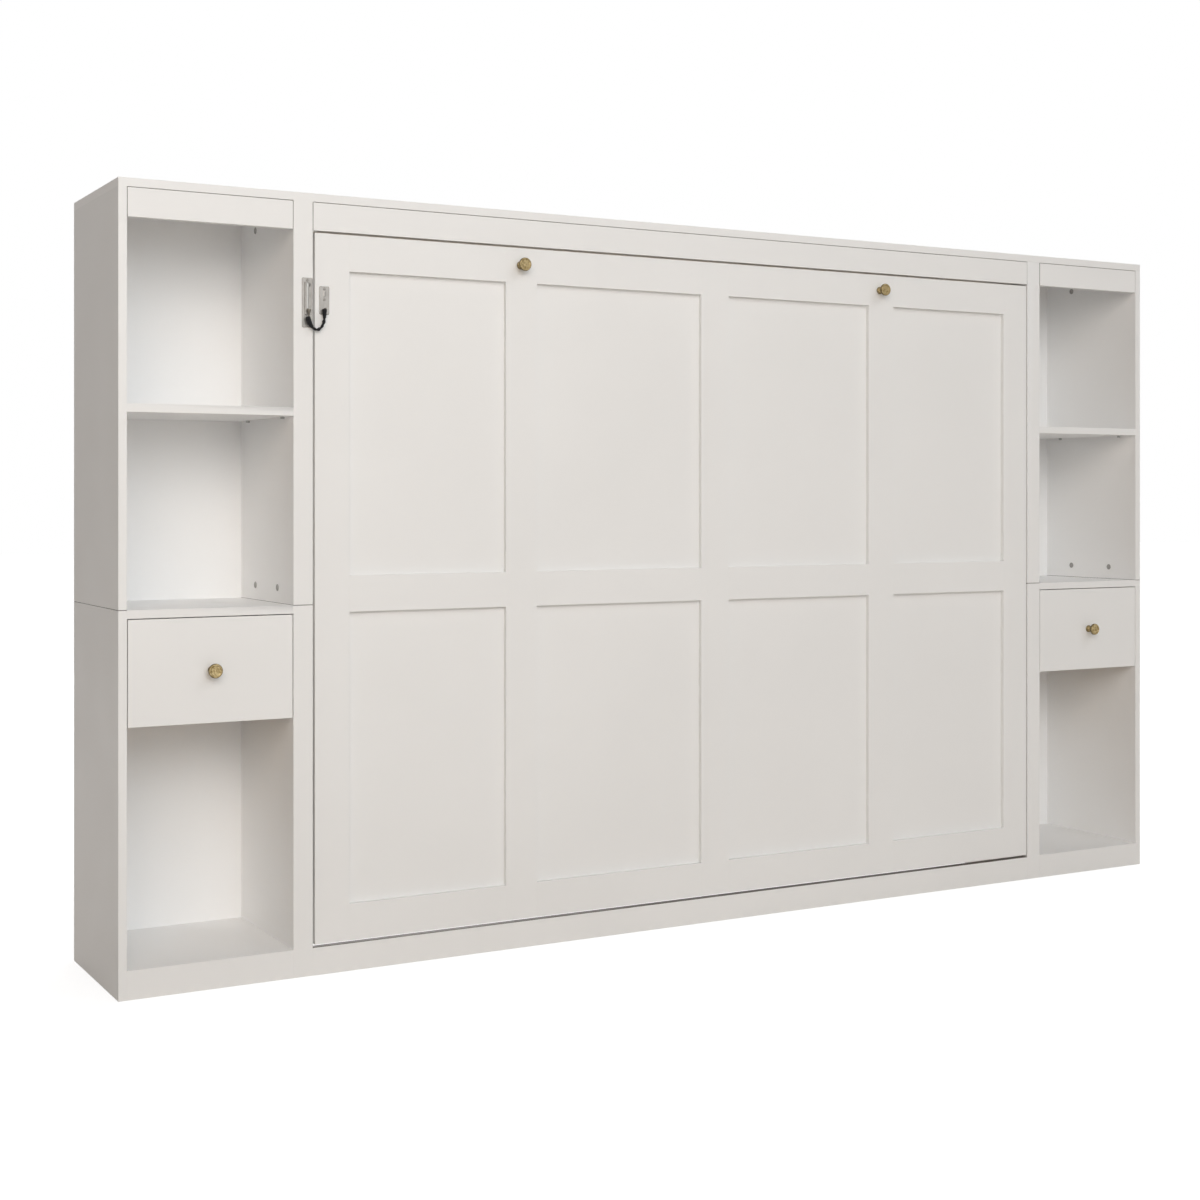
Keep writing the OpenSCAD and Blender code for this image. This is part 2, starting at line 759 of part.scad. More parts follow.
module strut_rod(side) {
    top = -strut_l + rod_inside;
    color(steel) strut_place(side) {
        strut_eye(-strut_open_l);
        translate([0, 0, -strut_open_l + eye_d / 2 - 1])
            cylinder(d = rod_d, h = top + strut_open_l - eye_d / 2 + 1);
        translate([0, 0, top]) cylinder(d = strut_d - 2 * strut_wall - 4 * play, h = 10);
    }
}

// Track plate of the latch, with a raised slotted channel and a release hole
module latch_track() {
    w = channel_w / 2;
    color(steel) in_frame() difference() {
        union() {
            board([track_x - latch_w / 2, -latch_t, latch_h - track_l / 2],
                [track_x + latch_w / 2, 0, latch_h + track_l / 2]);
            board([track_x - w, -latch_t - channel_out, channel_z0],
                [track_x + w, -latch_t, channel_z1]);
        }
        board([track_x - w + channel_wall, -latch_t - channel_out + channel_wall,
            channel_z0 + channel_wall], [track_x + w - channel_wall, 1,
            channel_z1 - channel_wall]);
        board([track_x - slot_w / 2, -latch_t - channel_out - 1, slot_z0 + slot_w / 2],
            [track_x + slot_w / 2, -latch_t, slot_z1]);
        y_bar(track_x, -latch_t - channel_out - 1, slot_z0 + slot_w / 2, slot_w, channel_out);
        y_bar(track_x, -latch_t - channel_out - 1, slot_z1, release_d, channel_out);
    }
}

// Domed screw head on a latch plate
module screw_head(x, z) {
    translate([x, -latch_t, z]) rotate([90, 0, 0]) {
        cylinder(d1 = screw_d, d2 = screw_d * 0.6, h = screw_out);
    }
}

module latch_screws() {
    color(steel) in_frame() for (z = [latch_h - track_l / 2 + 6, latch_h + track_l / 2 - 5])
        screw_head(track_x, z);
}

// Door plate of the latch, with a peg that holds the chain
module latch_anchor() {
    z = latch_h + anchor_lift;
    color(steel) in_frame() {
        board([latch_anchor_x - latch_w / 2, -latch_t, z - anchor_l / 2],
            [latch_anchor_x + latch_w / 2, 0, z + anchor_l / 2]);
        y_bar(latch_anchor_x, -chain_out - 2, peg_z, link_d, chain_out + 2 - latch_t);
    }
}

module anchor_screws() {
    z = latch_h + anchor_lift;
    color(steel) in_frame() for (z = [z + anchor_l / 2 - 6, z + 2])
        screw_head(latch_anchor_x, z);
}

// Sliding stud: a head inside the channel, a neck through the slot and a hanging cone
module latch_stud() {
    back = -latch_t - channel_out + channel_wall + play;
    link_z0 = cord_start_z + open_gap;
    color(steel) in_frame() {
        y_bar(track_x, back, slider_z, slider_d, slider_t);
        y_bar(track_x, -chain_out, slider_z, slot_w - 2 * play, back + chain_out);
        translate([track_x, -chain_out, cone_z0]) cylinder(d1 = link_d + 0.6, d2 = cone_d, h = cone_h);
        translate([track_x, -chain_out, link_z0]) cylinder(d = link_d, h = cone_z0 - link_z0);
    }
}

// Tube swept along points with a radius each, in a plane that leans little
function route_dir(p, i) =
    let (a = p[max(i - 1, 0)], b = p[min(i + 1, len(p) - 1)], d = [b[0] - a[0], b[2] - a[2]])
    d / norm(d);

module swept_tube(p, sides) {
    n = len(p);
    pts = [for (i = [0:n - 1]) let (d = route_dir(p, i)) for (j = [0:sides - 1])
        let (c = cos(360 * j / sides) * p[i][3], s = sin(360 * j / sides) * p[i][3])
        [p[i][0] - d[1] * c, p[i][1] + s, p[i][2] + d[0] * c]];
    rings = [for (i = [0:n - 2], j = [0:sides - 1])
        let (a = i * sides + j, b = i * sides + (j + 1) % sides)
        each [[a, b, b + sides], [a, b + sides, a + sides]]];
    caps = [[for (j = [sides - 1:-1:0]) j], [for (j = [0:sides - 1]) (n - 1) * sides + j]];
    polyhedron(pts, concat(rings, caps));
}

module safety_cord() {
    thick = [for (q = cord_route)
        [q[0], q[1], q[2], (q[3] > 0 ? sleeve_end_d : sleeve_d) / 2]];
    color(black_rubber) in_frame() translate([gap_x, -chain_out, latch_h])
        swept_tube(thick, 10);
}

top_panel();
outer_side(-1, seam_h, top_z0);  // left_outer_side_upper
outer_side(-1, 0, seam_h);  // left_outer_side_lower
outer_side(1, seam_h, top_z0);  // right_outer_side_upper
outer_side(1, 0, seam_h);  // right_outer_side_lower
pillar(-1, seam_h, top_z0);  // left_pillar_upper
pillar(-1, 0, seam_h);  // left_pillar_lower
pillar(1, seam_h, top_z0);  // right_pillar_upper
pillar(1, 0, seam_h);  // right_pillar_lower
tower_boards(seam_h, 0);  // middle_boards
tower_boards(shelf_h, 0);  // shelves
tower_boards(plinth_h, board_t);  // tower_floors
tower_back_panels();
tower_fascias();
bed_fascia();
tower_plinths();
bed_plinth();
wall_rail(top_z0 - wall_rail_h);  // upper_wall_rail
wall_rail(plinth_h);  // lower_wall_rail
cam_lock_covers();
shelf_pins();
pivot_brackets();
pivot_pins();
strut_anchors();
drawer_tracks();
latch_track();
latch_screws();
drawer_front(-1);  // left_drawer_front
drawer_box(-1);  // left_drawer_box
drawer_knob(-1);  // left_drawer_knob
drawer_runners(-1);  // left_drawer_runners
drawer_front(1);  // right_drawer_front
drawer_box(1);  // right_drawer_box
drawer_knob(1);  // right_drawer_knob
drawer_runners(1);  // right_drawer_runners
front_board();
front_stiles();
front_rails();
front_knobs();
frame_long_rails();
frame_end_rails();
frame_center_beam();
slats();
slat_ledges();
mattress_straps();
pivot_plates();
pivot_bushes();
leg_pins();
latch_anchor();
anchor_screws();
leg(-1);  // left_leg
leg(1);  // right_leg
leg_foot(-1);  // left_leg_foot
leg_foot(1);  // right_leg_foot
strut_cylinder(-1);  // left_strut_cylinder
strut_cylinder(1);  // right_strut_cylinder
strut_rod(-1);  // left_strut_rod
strut_rod(1);  // right_strut_rod
latch_stud();
safety_cord();
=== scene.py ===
"""Looks of a white wall bed between two open shelf towers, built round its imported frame."""
from math import radians

import bmesh
import bpy
import numpy as np
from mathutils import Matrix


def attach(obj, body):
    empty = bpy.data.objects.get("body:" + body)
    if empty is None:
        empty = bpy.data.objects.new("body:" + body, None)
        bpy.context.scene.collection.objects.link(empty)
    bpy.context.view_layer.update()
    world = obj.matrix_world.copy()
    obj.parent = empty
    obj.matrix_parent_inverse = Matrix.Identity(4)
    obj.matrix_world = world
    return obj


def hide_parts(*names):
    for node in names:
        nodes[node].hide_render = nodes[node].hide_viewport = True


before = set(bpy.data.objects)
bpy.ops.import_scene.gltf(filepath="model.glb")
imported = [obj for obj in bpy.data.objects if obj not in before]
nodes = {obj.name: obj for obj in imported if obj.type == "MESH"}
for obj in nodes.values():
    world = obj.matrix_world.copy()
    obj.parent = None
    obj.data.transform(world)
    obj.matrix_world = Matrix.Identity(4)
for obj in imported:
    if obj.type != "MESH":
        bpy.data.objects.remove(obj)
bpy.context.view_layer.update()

# ---------------------------------------------------------------------------------------------
# Camera: level, 1.04 m up and to the left of the left tower. It is turned 29 degrees to the right,
# so that the long front runs away from it, and a small shift frames the object.
camera = bpy.data.objects.new("camera", bpy.data.cameras.new("camera"))
bpy.context.scene.collection.objects.link(camera)
bpy.context.scene.camera = camera
camera.location = (-2.414, -3.9315, 1.037)
camera.rotation_euler = (radians(90), 0, radians(-29.28))
camera.data.lens = 54.58
camera.data.sensor_width = 36
camera.data.shift_y = -0.0846
camera.data.clip_end = 100
bpy.context.scene.view_settings.view_transform = "Standard"

# ---------------------------------------------------------------------------------------------
# Studio: pale floor and white surroundings, with large soft lamps in front, at both sides, behind
# and above. The camera sees the floor glow white, a little less so round the object, whose shadow
# it keeps, and to all other rays it is a plain warm grey.
world = bpy.data.worlds.new("studio")
bpy.context.scene.world = world
world.use_nodes = True
sky = world.node_tree
around = sky.nodes["Background"]
around.inputs["Color"].default_value = (1.0, 0.965, 0.93, 1)
around.inputs["Strength"].default_value = 0.1
backdrop = sky.nodes.new("ShaderNodeBackground")
backdrop.inputs["Color"].default_value = (1, 1, 1, 1)
backdrop.inputs["Strength"].default_value = 1


def by_ray(tree, others, seen):
    """Mix of two shaders: the one seen by the camera and by glossy and transmitted rays, and the
    one for all other rays."""
    path = tree.nodes.new("ShaderNodeLightPath")
    share = path.outputs["Is Camera Ray"]
    for kind in ("Is Glossy Ray", "Is Transmission Ray"):
        either = tree.nodes.new("ShaderNodeMath")
        either.operation = "MAXIMUM"
        tree.links.new(share, either.inputs[0])
        tree.links.new(path.outputs[kind], either.inputs[1])
        share = either.outputs[0]
    mixed = tree.nodes.new("ShaderNodeMixShader")
    for out, into in zip((share, others, seen), mixed.inputs):
        tree.links.new(out, into)
    return mixed.outputs[0]


sky.links.new(by_ray(sky, around.outputs[0], backdrop.outputs[0]),
              sky.nodes["World Output"].inputs["Surface"])


def soft_lamp(name, place, aim, size, power, colour):
    """Square lamp that points from its place to its aim: side in metres, power in watts."""
    lamp = bpy.data.objects.new(name, bpy.data.lights.new(name, "AREA"))
    bpy.context.scene.collection.objects.link(lamp)
    lamp.data.shape = "SQUARE"
    lamp.data.size = size
    lamp.data.energy = power
    lamp.data.color = colour
    lamp.location = place
    way = lamp.location.copy()
    way.x, way.y, way.z = (a - p for a, p in zip(aim, place))
    lamp.rotation_euler = way.to_track_quat("-Z", "Y").to_euler()


soft_lamp("key_lamp", (-2.0, -4.4, 3.1), (-0.4, 0, 0.8), 3.0, 62, (0.97, 0.99, 1))
soft_lamp("front_lamp", (-1.2, -9.0, 3.0), (0, 0, 0.8), 5.0, 180, (0.97, 0.99, 1))
soft_lamp("high_lamp", (3.5, -6.0, 7.0), (0, 0, 0.8), 4.0, 120, (0.98, 0.99, 1))
soft_lamp("side_lamp", (-5.0, -6.5, 3.6), (0, 0, 0.8), 3.5, 105, (1, 0.8, 0.62))
soft_lamp("right_lamp", (5.5, 1.2, 2.4), (1.4, 0, 0.8), 2.6, 95, (1, 0.98, 0.96))
soft_lamp("back_lamp", (1.5, 6.5, 1.6), (0, 0.2, 0.8), 3.0, 120, (1, 0.99, 0.98))
soft_lamp("top_lamp", (0, 2.2, 5.0), (0, 0.1, 1.7), 3.5, 60, (1, 0.99, 0.98))

floor_half = 30.0  # half the floor's side in metres
floor_corners = floor_half * np.array([[-1, -1, 0], [1, -1, 0], [1, 1, 0], [-1, 1, 0]])
floor = bpy.data.objects.new("floor", bpy.data.meshes.new("floor"))
floor.data.from_pydata(floor_corners.tolist(), [], [[0, 1, 2, 3]])
bpy.context.scene.collection.objects.link(floor)
pale = bpy.data.materials.new("pale_floor")
pale.use_nodes = True
tree = pale.node_tree
tree.nodes.clear()
bounce = tree.nodes.new("ShaderNodeBsdfDiffuse")
bounce.inputs["Color"].default_value = (0.62, 0.56, 0.5, 1)
shade = tree.nodes.new("ShaderNodeBsdfDiffuse")
shade.inputs["Color"].default_value = (0.4, 0.4, 0.4, 1)
# The glow grows from 0.8 to 1 with the distance from the middle, scaled along X and Y
glow = tree.nodes.new("ShaderNodeEmission")
spot = tree.nodes.new("ShaderNodeTexCoord")
stretch = tree.nodes.new("ShaderNodeVectorMath")
stretch.operation = "MULTIPLY"
stretch.inputs[1].default_value = (0.45, 0.9, 0)
reach = tree.nodes.new("ShaderNodeVectorMath")
reach.operation = "LENGTH"
whiter = tree.nodes.new("ShaderNodeMapRange")
for limit, value in (("From Min", 0.6), ("From Max", 1.8), ("To Min", 0.8), ("To Max", 1.0)):
    whiter.inputs[limit].default_value = value
tree.links.new(spot.outputs["Object"], stretch.inputs[0])
tree.links.new(stretch.outputs["Vector"], reach.inputs[0])
tree.links.new(reach.outputs["Value"], whiter.inputs["Value"])
tree.links.new(whiter.outputs[0], glow.inputs["Strength"])
bright = tree.nodes.new("ShaderNodeAddShader")
tree.links.new(shade.outputs[0], bright.inputs[0])
tree.links.new(glow.outputs[0], bright.inputs[1])
surface = tree.nodes.new("ShaderNodeOutputMaterial")
tree.links.new(by_ray(tree, bounce.outputs[0], bright.outputs[0]), surface.inputs["Surface"])
floor.data.materials.append(pale)


# ---------------------------------------------------------------------------------------------
# Safety chain: a short steel chain in a black woven sleeve that is gathered over the links and
# doubled at both ends. It hangs from the sliding stud of the latch to the peg on the door plate.
def piece(name, shells, material, body, replaces=(), sharp=40):
    """One mesh of closed shells. A shell is rows of rings (row, point, xyz): neighbours are joined
    by four-sided faces, and the first and last ring are closed. The UV map runs round the rings
    from 0 to 1 and along their middles in metres. Edges that turn by more than sharp, in degrees,
    are shaded sharp."""
    points, faces, uvs, start = [], [], [], 0
    for rings in shells:
        rows, count = rings.shape[:2]
        i = np.arange(rows - 1)[:, None]
        j = np.arange(count)[None, :]
        here, next_row, beside = i * count, (i + 1) * count, (j + 1) % count
        quads = np.stack([here + j, here + beside, next_row + beside, next_row + j], -1)
        faces += (quads.reshape(-1, 4) + start).tolist()
        faces += [list(range(start, start + count))[::-1],
                  list(range(start + (rows - 1) * count, start + rows * count))]
        along = np.r_[0, np.linalg.norm(np.diff(rings.mean(1), axis=0), axis=1).cumsum()]
        u = np.stack([j, j + 1, j + 1, j], -1) / count + 0 * i[..., None]
        v = np.stack([along[i], along[i], along[i + 1], along[i + 1]], -1) + 0 * j[..., None]
        uvs += [np.stack([u, v], -1).reshape(-1, 2), np.zeros((2 * count, 2))]
        points.append(rings.reshape(-1, 3))
        start += rows * count
    mesh = bpy.data.meshes.new(name)
    mesh.from_pydata(np.concatenate(points).tolist(), [], faces)
    layer = mesh.uv_layers.new(name="UVMap")
    layer.data.foreach_set("uv", np.concatenate(uvs).astype(np.float32).ravel())
    bm = bmesh.new()
    bm.from_mesh(mesh)
    bmesh.ops.remove_doubles(bm, verts=bm.verts, dist=1e-6)
    bmesh.ops.recalc_face_normals(bm, faces=bm.faces)
    bm.to_mesh(mesh)
    bm.free()
    mesh.shade_smooth()
    mesh.set_sharp_from_angle(angle=radians(sharp))
    thing = bpy.data.objects.new(name, mesh)
    bpy.context.scene.collection.objects.link(thing)
    mesh.materials.append(material)
    thing.modifiers.new("faces", "WEIGHTED_NORMAL").keep_sharp = True
    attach(thing, body)
    if replaces:
        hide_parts(*replaces)
    return thing


class Finish:
    """A surface finish: one main shader, with procedural colour, roughness and bump."""

    def __init__(self, name, colour, rough, metal=0.0, source="Object"):
        self.material = bpy.data.materials.new(name)
        self.material.use_nodes = True
        self.tree = self.material.node_tree
        self.shader = self.tree.nodes["Principled BSDF"]
        self.shader.inputs["Base Color"].default_value = (*colour, 1)
        self.shader.inputs["Roughness"].default_value = rough
        self.shader.inputs["Metallic"].default_value = metal
        place = self.tree.nodes.new("ShaderNodeTexCoord")
        self.place = place.outputs[source]

    def join(self, out, into):
        """A link from an output to an input."""
        self.tree.links.new(out, into)

    def stretched(self, scale):
        """The coordinates, scaled along each axis."""
        node = self.tree.nodes.new("ShaderNodeMapping")
        node.inputs["Scale"].default_value = scale
        self.join(self.place, node.inputs["Vector"])
        return node.outputs["Vector"]

    def noise(self, scale, detail=2.0, place=None, distortion=0.0):
        """Cloudy pattern from 0 to 1, with scale lumps per metre."""
        node = self.tree.nodes.new("ShaderNodeTexNoise")
        node.inputs["Scale"].default_value = scale
        node.inputs["Detail"].default_value = detail
        node.inputs["Distortion"].default_value = distortion
        self.join(place or self.place, node.inputs["Vector"])
        return node.outputs["Fac"]

    def bands(self, scale, direction, place=None):
        """Straight bands across a direction, from 0 to 1 as a sine."""
        node = self.tree.nodes.new("ShaderNodeTexWave")
        node.bands_direction = direction
        node.inputs["Scale"].default_value = scale
        self.join(place or self.place, node.inputs["Vector"])
        return node.outputs["Fac"]

    def sums(self, operation, a, b):
        """A Math node on two outputs or numbers."""
        node = self.tree.nodes.new("ShaderNodeMath")
        node.operation = operation
        for slot, value in zip(node.inputs, (a, b)):
            if isinstance(value, (int, float)):
                slot.default_value = value
            else:
                self.join(value, slot)
        return node.outputs[0]

    def ramp(self, fac, *stops):
        """Colours or greys at places from 0 to 1."""
        node = self.tree.nodes.new("ShaderNodeValToRGB")
        rows = node.color_ramp.elements
        while len(rows) < len(stops):
            rows.new(1)
        for row, (at, shown) in zip(rows, stops):
            row.position = at
            row.color = (*((shown,) * 3 if isinstance(shown, float) else shown), 1)
        self.join(fac, node.inputs["Fac"])
        return node.outputs["Color"]

    def mix(self, fac, a, b, blend="MIX"):
        """Two colours mixed by a factor. Each may be an output, and a colour a tuple."""
        node = self.tree.nodes.new("ShaderNodeMix")
        node.data_type = "RGBA"
        node.blend_type = blend
        for slot, value in ((node.inputs[0], fac), (node.inputs[6], a), (node.inputs[7], b)):
            if isinstance(value, (int, float)):
                slot.default_value = value
            elif isinstance(value, tuple):
                slot.default_value = (*value, 1)
            else:
                self.join(value, slot)
        return node.outputs[2]

    def colour(self, out):
        """The colour of the surface from an output."""
        self.join(out, self.shader.inputs["Base Color"])

    def rough(self, fac, low, high):
        """Roughness from low to high with a factor."""
        self.join(self.ramp(fac, (0.0, float(low)), (1.0, float(high))),
                  self.shader.inputs["Roughness"])

    def bump(self, height, depth, strength=1.0):
        """Bump of that depth in metres. A second one goes on top of the first."""
        node = self.tree.nodes.new("ShaderNodeBump")
        node.inputs["Strength"].default_value = strength
        node.inputs["Distance"].default_value = depth
        self.join(height, node.inputs["Height"])
        old = self.shader.inputs["Normal"].links
        if old:
            self.join(old[0].from_socket, node.inputs["Normal"])
        self.join(node.outputs["Normal"], self.shader.inputs["Normal"])


mm = 0.001
front = -0.1785  # depth of the cabinet's front face in metres

# Route of the sleeve in mm: offset from the middle of the gap beside the door, depth, height, and
# radius, which is larger where the sleeve is doubled at its ends
route = np.array([
    [-18, 0, -31, 5.0], [-16.5, 0, -38, 5.5], [-13.5, 0, -45, 5.3], [-11, 0, -49.5, 4.6],
    [-6.8, 0, -54.5, 3.4], [-2, 0, -57.8, 2.9], [3.5, 0, -58.8, 2.6], [9, 0, -56.8, 2.7],
    [14, 0, -52, 2.9], [17.5, 0, -45, 3.1], [19.5, 0.3, -37.5, 2.8], [20.3, 0.6, -30, 3.5],
    [20.6, 0.8, -26, 4.2], [20.8, 1, -20, 4.8], [21, 1, -13, 5.2]], float)
gap_middle, latch_height, chain_depth = -1022.5, 1462.0, 11.0
link_pitch = 10.5  # length of chain from link to link, in mm
rim_round = 1.2  # rounding of the sleeve's rims, in mm
single_radius, doubling = 3.4, 0.8  # radius where doubling begins, and growth until it is full


def smooth_path(points, steps):
    """Catmull-Rom curve through the points, with the ends repeated, at even steps of its knots."""
    p = np.vstack([2 * points[0] - points[1], points, 2 * points[-1] - points[-2]])
    t = np.linspace(0, len(points) - 1, steps)
    k = np.minimum(t.astype(int), len(points) - 2)
    s = (t - k)[:, None]
    a, b, c, d = p[k], p[k + 1], p[k + 2], p[k + 3]
    return 0.5 * (2 * b + (c - a) * s + (2 * a - 5 * b + 4 * c - d) * s ** 2
                  + (3 * b - a - 3 * c + d) * s ** 3)


def sleeve_rings(path, radius, sides):
    """Rings across a path that runs in the X-Z plane: the path plus radius times the cosine of
    the angle along its normal, and times the sine along Y. radius is (row, point)."""
    way = np.gradient(path, axis=0)
    way /= np.linalg.norm(way[:, [0, 2]], axis=1)[:, None]
    normal = np.stack([-way[:, 2], 0 * way[:, 0], way[:, 0]], -1)
    angle = np.linspace(0, 2 * np.pi, sides, endpoint=False)
    return (path[:, None] + normal[:, None] * (radius * np.cos(angle))[..., None]
            + np.array([0, 1, 0]) * (radius * np.sin(angle))[..., None])


sleeve_steps, sleeve_sides = 240, 28
sleeve_path = smooth_path(route, sleeve_steps)
plain_radius = sleeve_path[:, 3:]
sleeve_path = sleeve_path[:, :3] * mm
sleeve_path += np.array([gap_middle * mm, front - chain_depth * mm, latch_height * mm])
run = np.r_[0, np.linalg.norm(np.diff(sleeve_path, axis=0), axis=1).cumsum()] / mm
around_it = np.linspace(0, 2 * np.pi, sleeve_sides, endpoint=False)[None, :]
s = run[:, None]
# The links push the single sleeve out in turn, and the doubled ends are only a little uneven
thick = np.clip((plain_radius - single_radius) / doubling, 0, 1)
link = 2 * np.pi * s / link_pitch
radius = plain_radius + (1 - thick) * (
    0.5 * np.cos(link) + 0.45 * np.cos(2 * around_it) * np.cos(link / 2)
    + 0.16 * np.sin(3 * around_it + 0.9 * s) + 0.12 * np.sin(2.6 * s + around_it))
radius += thick * (0.09 * np.sin(2.2 * s) + 0.14 * np.sin(2 * around_it + 0.5 * s))
# The rims are rounded as a quarter circle, down to half the radius
rim = np.clip(np.minimum(s, run[-1] - s) / rim_round, 0, 1)
radius = radius * np.sqrt(np.clip(1 - (1 - rim) ** 2, 0.25, 1)) * mm

sleeve = Finish("black_woven_sleeve", (0.02, 0.02, 0.022), 0.75, source="UV")
round_count, along_count = 26, 900  # strands round the sleeve, and along each metre of it
weave = sleeve.sums("MULTIPLY", *(
    sleeve.bands(1.0, "DIAGONAL", sleeve.stretched((way * round_count, along_count, 1)))
    for way in (1, -1)))
sleeve.colour(sleeve.ramp(weave, (0.1, (0.003, 0.003, 0.0035)), (0.9, (0.02, 0.02, 0.023))))
sleeve.rough(sleeve.noise(300, 3), 0.6, 0.85)
sleeve.bump(weave, 0.0003, 0.8)
sleeve.shader.inputs["Specular IOR Level"].default_value = 0.22
sleeve.shader.inputs["Sheen Weight"].default_value = 0.05
safety_cord = piece("safety_cord_sleeve", [sleeve_rings(sleeve_path, radius, sleeve_sides)],
                    sleeve.material, "safety_cord_body", ["safety_cord"])


# ---------------------------------------------------------------------------------------------
# Cabinet boards: 18 mm MDF, sprayed with white satin lacquer and held by cam locks. Their edges
# are eased by hand, and where two boards lie flush and were sprayed together no edge shows.
far = 9.0  # past the object on every axis, in metres


def edge_group(name, inputs):
    """Geometry node group with its input and output, and the angle at each edge of the mesh."""
    group = bpy.data.node_groups.new(name, "GeometryNodeTree")
    for socket, kind in (("Geometry", "Geometry"), *inputs):
        group.interface.new_socket(socket, in_out="INPUT", socket_type=f"NodeSocket{kind}")
    group.interface.new_socket("Geometry", in_out="OUTPUT", socket_type="NodeSocketGeometry")
    new, tie = group.nodes.new, group.links.new
    turned_by, sharp = new("GeometryNodeInputMeshEdgeAngle"), new("FunctionNodeCompare")
    sharp.operation = "GREATER_THAN"
    tie(turned_by.outputs["Unsigned Angle"], sharp.inputs[0])
    return group, new, tie, new("NodeGroupInput").outputs, new("NodeGroupOutput").inputs, sharp


# First group: joins the loose triangles of a board, and gives an edge a bevel weight if it turns
# by more than 35 degrees, lies within Low to High, and runs along the axes given: 1 near the
# seam's height, and Rest elsewhere
edge_picker, new, tie, given, made, corner = edge_group("eased_edges", (
    ("Low", "Vector"), ("High", "Vector"), ("Along", "Vector"), ("Seam", "Float"),
    ("Rest", "Float")))
corner.inputs[1].default_value = radians(35)
merged, cleared = new("GeometryNodeMergeByDistance"), new("GeometryNodeRemoveAttribute")
merged.inputs["Distance"].default_value = 1e-5
cleared.inputs["Name"].default_value = "custom_normal"
tie(given["Geometry"], merged.inputs["Geometry"])
tie(merged.outputs["Geometry"], cleared.inputs["Geometry"])
where, parts, spot = (new("GeometryNodeInputPosition"), new("ShaderNodeSeparateXYZ"),
                      new("ShaderNodeCombineXYZ"))
off_middle = new("ShaderNodeMath")
off_middle.operation = "ABSOLUTE"
tie(where.outputs[0], parts.inputs[0])
tie(parts.outputs["X"], off_middle.inputs[0])
tie(off_middle.outputs[0], spot.inputs["X"])
tie(parts.outputs["Y"], spot.inputs["Y"])
tie(parts.outputs["Z"], spot.inputs["Z"])
tests = [corner.outputs[0]]
for limit, operation in (("Low", "GREATER_THAN"), ("High", "LESS_THAN")):
    test = new("FunctionNodeCompare")
    test.data_type, test.mode, test.operation = "VECTOR", "ELEMENT", operation
    sides = [k for k in test.inputs if k.type == "VECTOR"]
    tie(spot.outputs[0], sides[0])
    tie(given[limit], sides[1])
    tests.append(test.outputs[0])
ends, span, unit, size, share = (new("GeometryNodeInputMeshEdgeVertices"),
                                 *(new("ShaderNodeVectorMath") for _ in range(4)))
span.operation, unit.operation, size.operation, share.operation = (
    "SUBTRACT", "NORMALIZE", "ABSOLUTE", "DOT_PRODUCT")
tie(ends.outputs["Position 1"], span.inputs[0])
tie(ends.outputs["Position 2"], span.inputs[1])
tie(span.outputs[0], unit.inputs[0])
tie(unit.outputs[0], size.inputs[0])
tie(size.outputs[0], share.inputs[0])
tie(given["Along"], share.inputs[1])
runs_along = new("FunctionNodeCompare")
runs_along.operation = "GREATER_THAN"
runs_along.inputs[1].default_value = 0.9
tie(share.outputs["Value"], runs_along.inputs[0])
tests.append(runs_along.outputs[0])
chosen = tests[0]
for test in tests[1:]:
    both = new("FunctionNodeBooleanMath")
    both.operation = "AND"
    tie(chosen, both.inputs[0])
    tie(test, both.inputs[1])
    chosen = both.outputs[0]
at_seam, eases, picked = (new("ShaderNodeMath"), new("GeometryNodeSwitch"),
                          new("GeometryNodeSwitch"))
at_seam.operation = "COMPARE"
at_seam.inputs[2].default_value = 0.0005
eases.input_type = picked.input_type = "FLOAT"
eases.inputs["True"].default_value = 1
tie(parts.outputs["Z"], at_seam.inputs[0])
tie(given["Seam"], at_seam.inputs[1])
tie(at_seam.outputs[0], eases.inputs["Switch"])
tie(given["Rest"], eases.inputs["False"])
tie(chosen, picked.inputs["Switch"])
tie(eases.outputs[0], picked.inputs["True"])
weight = new("GeometryNodeStoreNamedAttribute")
weight.data_type, weight.domain = "FLOAT", "EDGE"
weight.inputs["Name"].default_value = "bevel_weight_edge"
tie(cleared.outputs["Geometry"], weight.inputs["Geometry"])
tie(picked.outputs[0], next(k for k in weight.inputs if k.name == "Value" and k.enabled))
tie(weight.outputs["Geometry"], made["Geometry"])
socket_of = {k.name: k.identifier for k in edge_picker.interface.items_tree
             if k.in_out == "INPUT"}

# Second group, after the bevel: faces are smooth, and edges that turn by more than 50 degrees
# are sharp
crisp_maker, new, tie, given, made, corner = edge_group("crisp_edges", ())
corner.inputs[1].default_value = radians(50)
smooth, crisp = new("GeometryNodeSetShadeSmooth"), new("GeometryNodeSetShadeSmooth")
smooth.domain, crisp.domain = "FACE", "EDGE"
crisp.inputs["Shade Smooth"].default_value = False
tie(given["Geometry"], smooth.inputs["Geometry"])
tie(smooth.outputs["Geometry"], crisp.inputs["Geometry"])
tie(corner.outputs[0], crisp.inputs["Selection"])
tie(crisp.outputs["Geometry"], made["Geometry"])


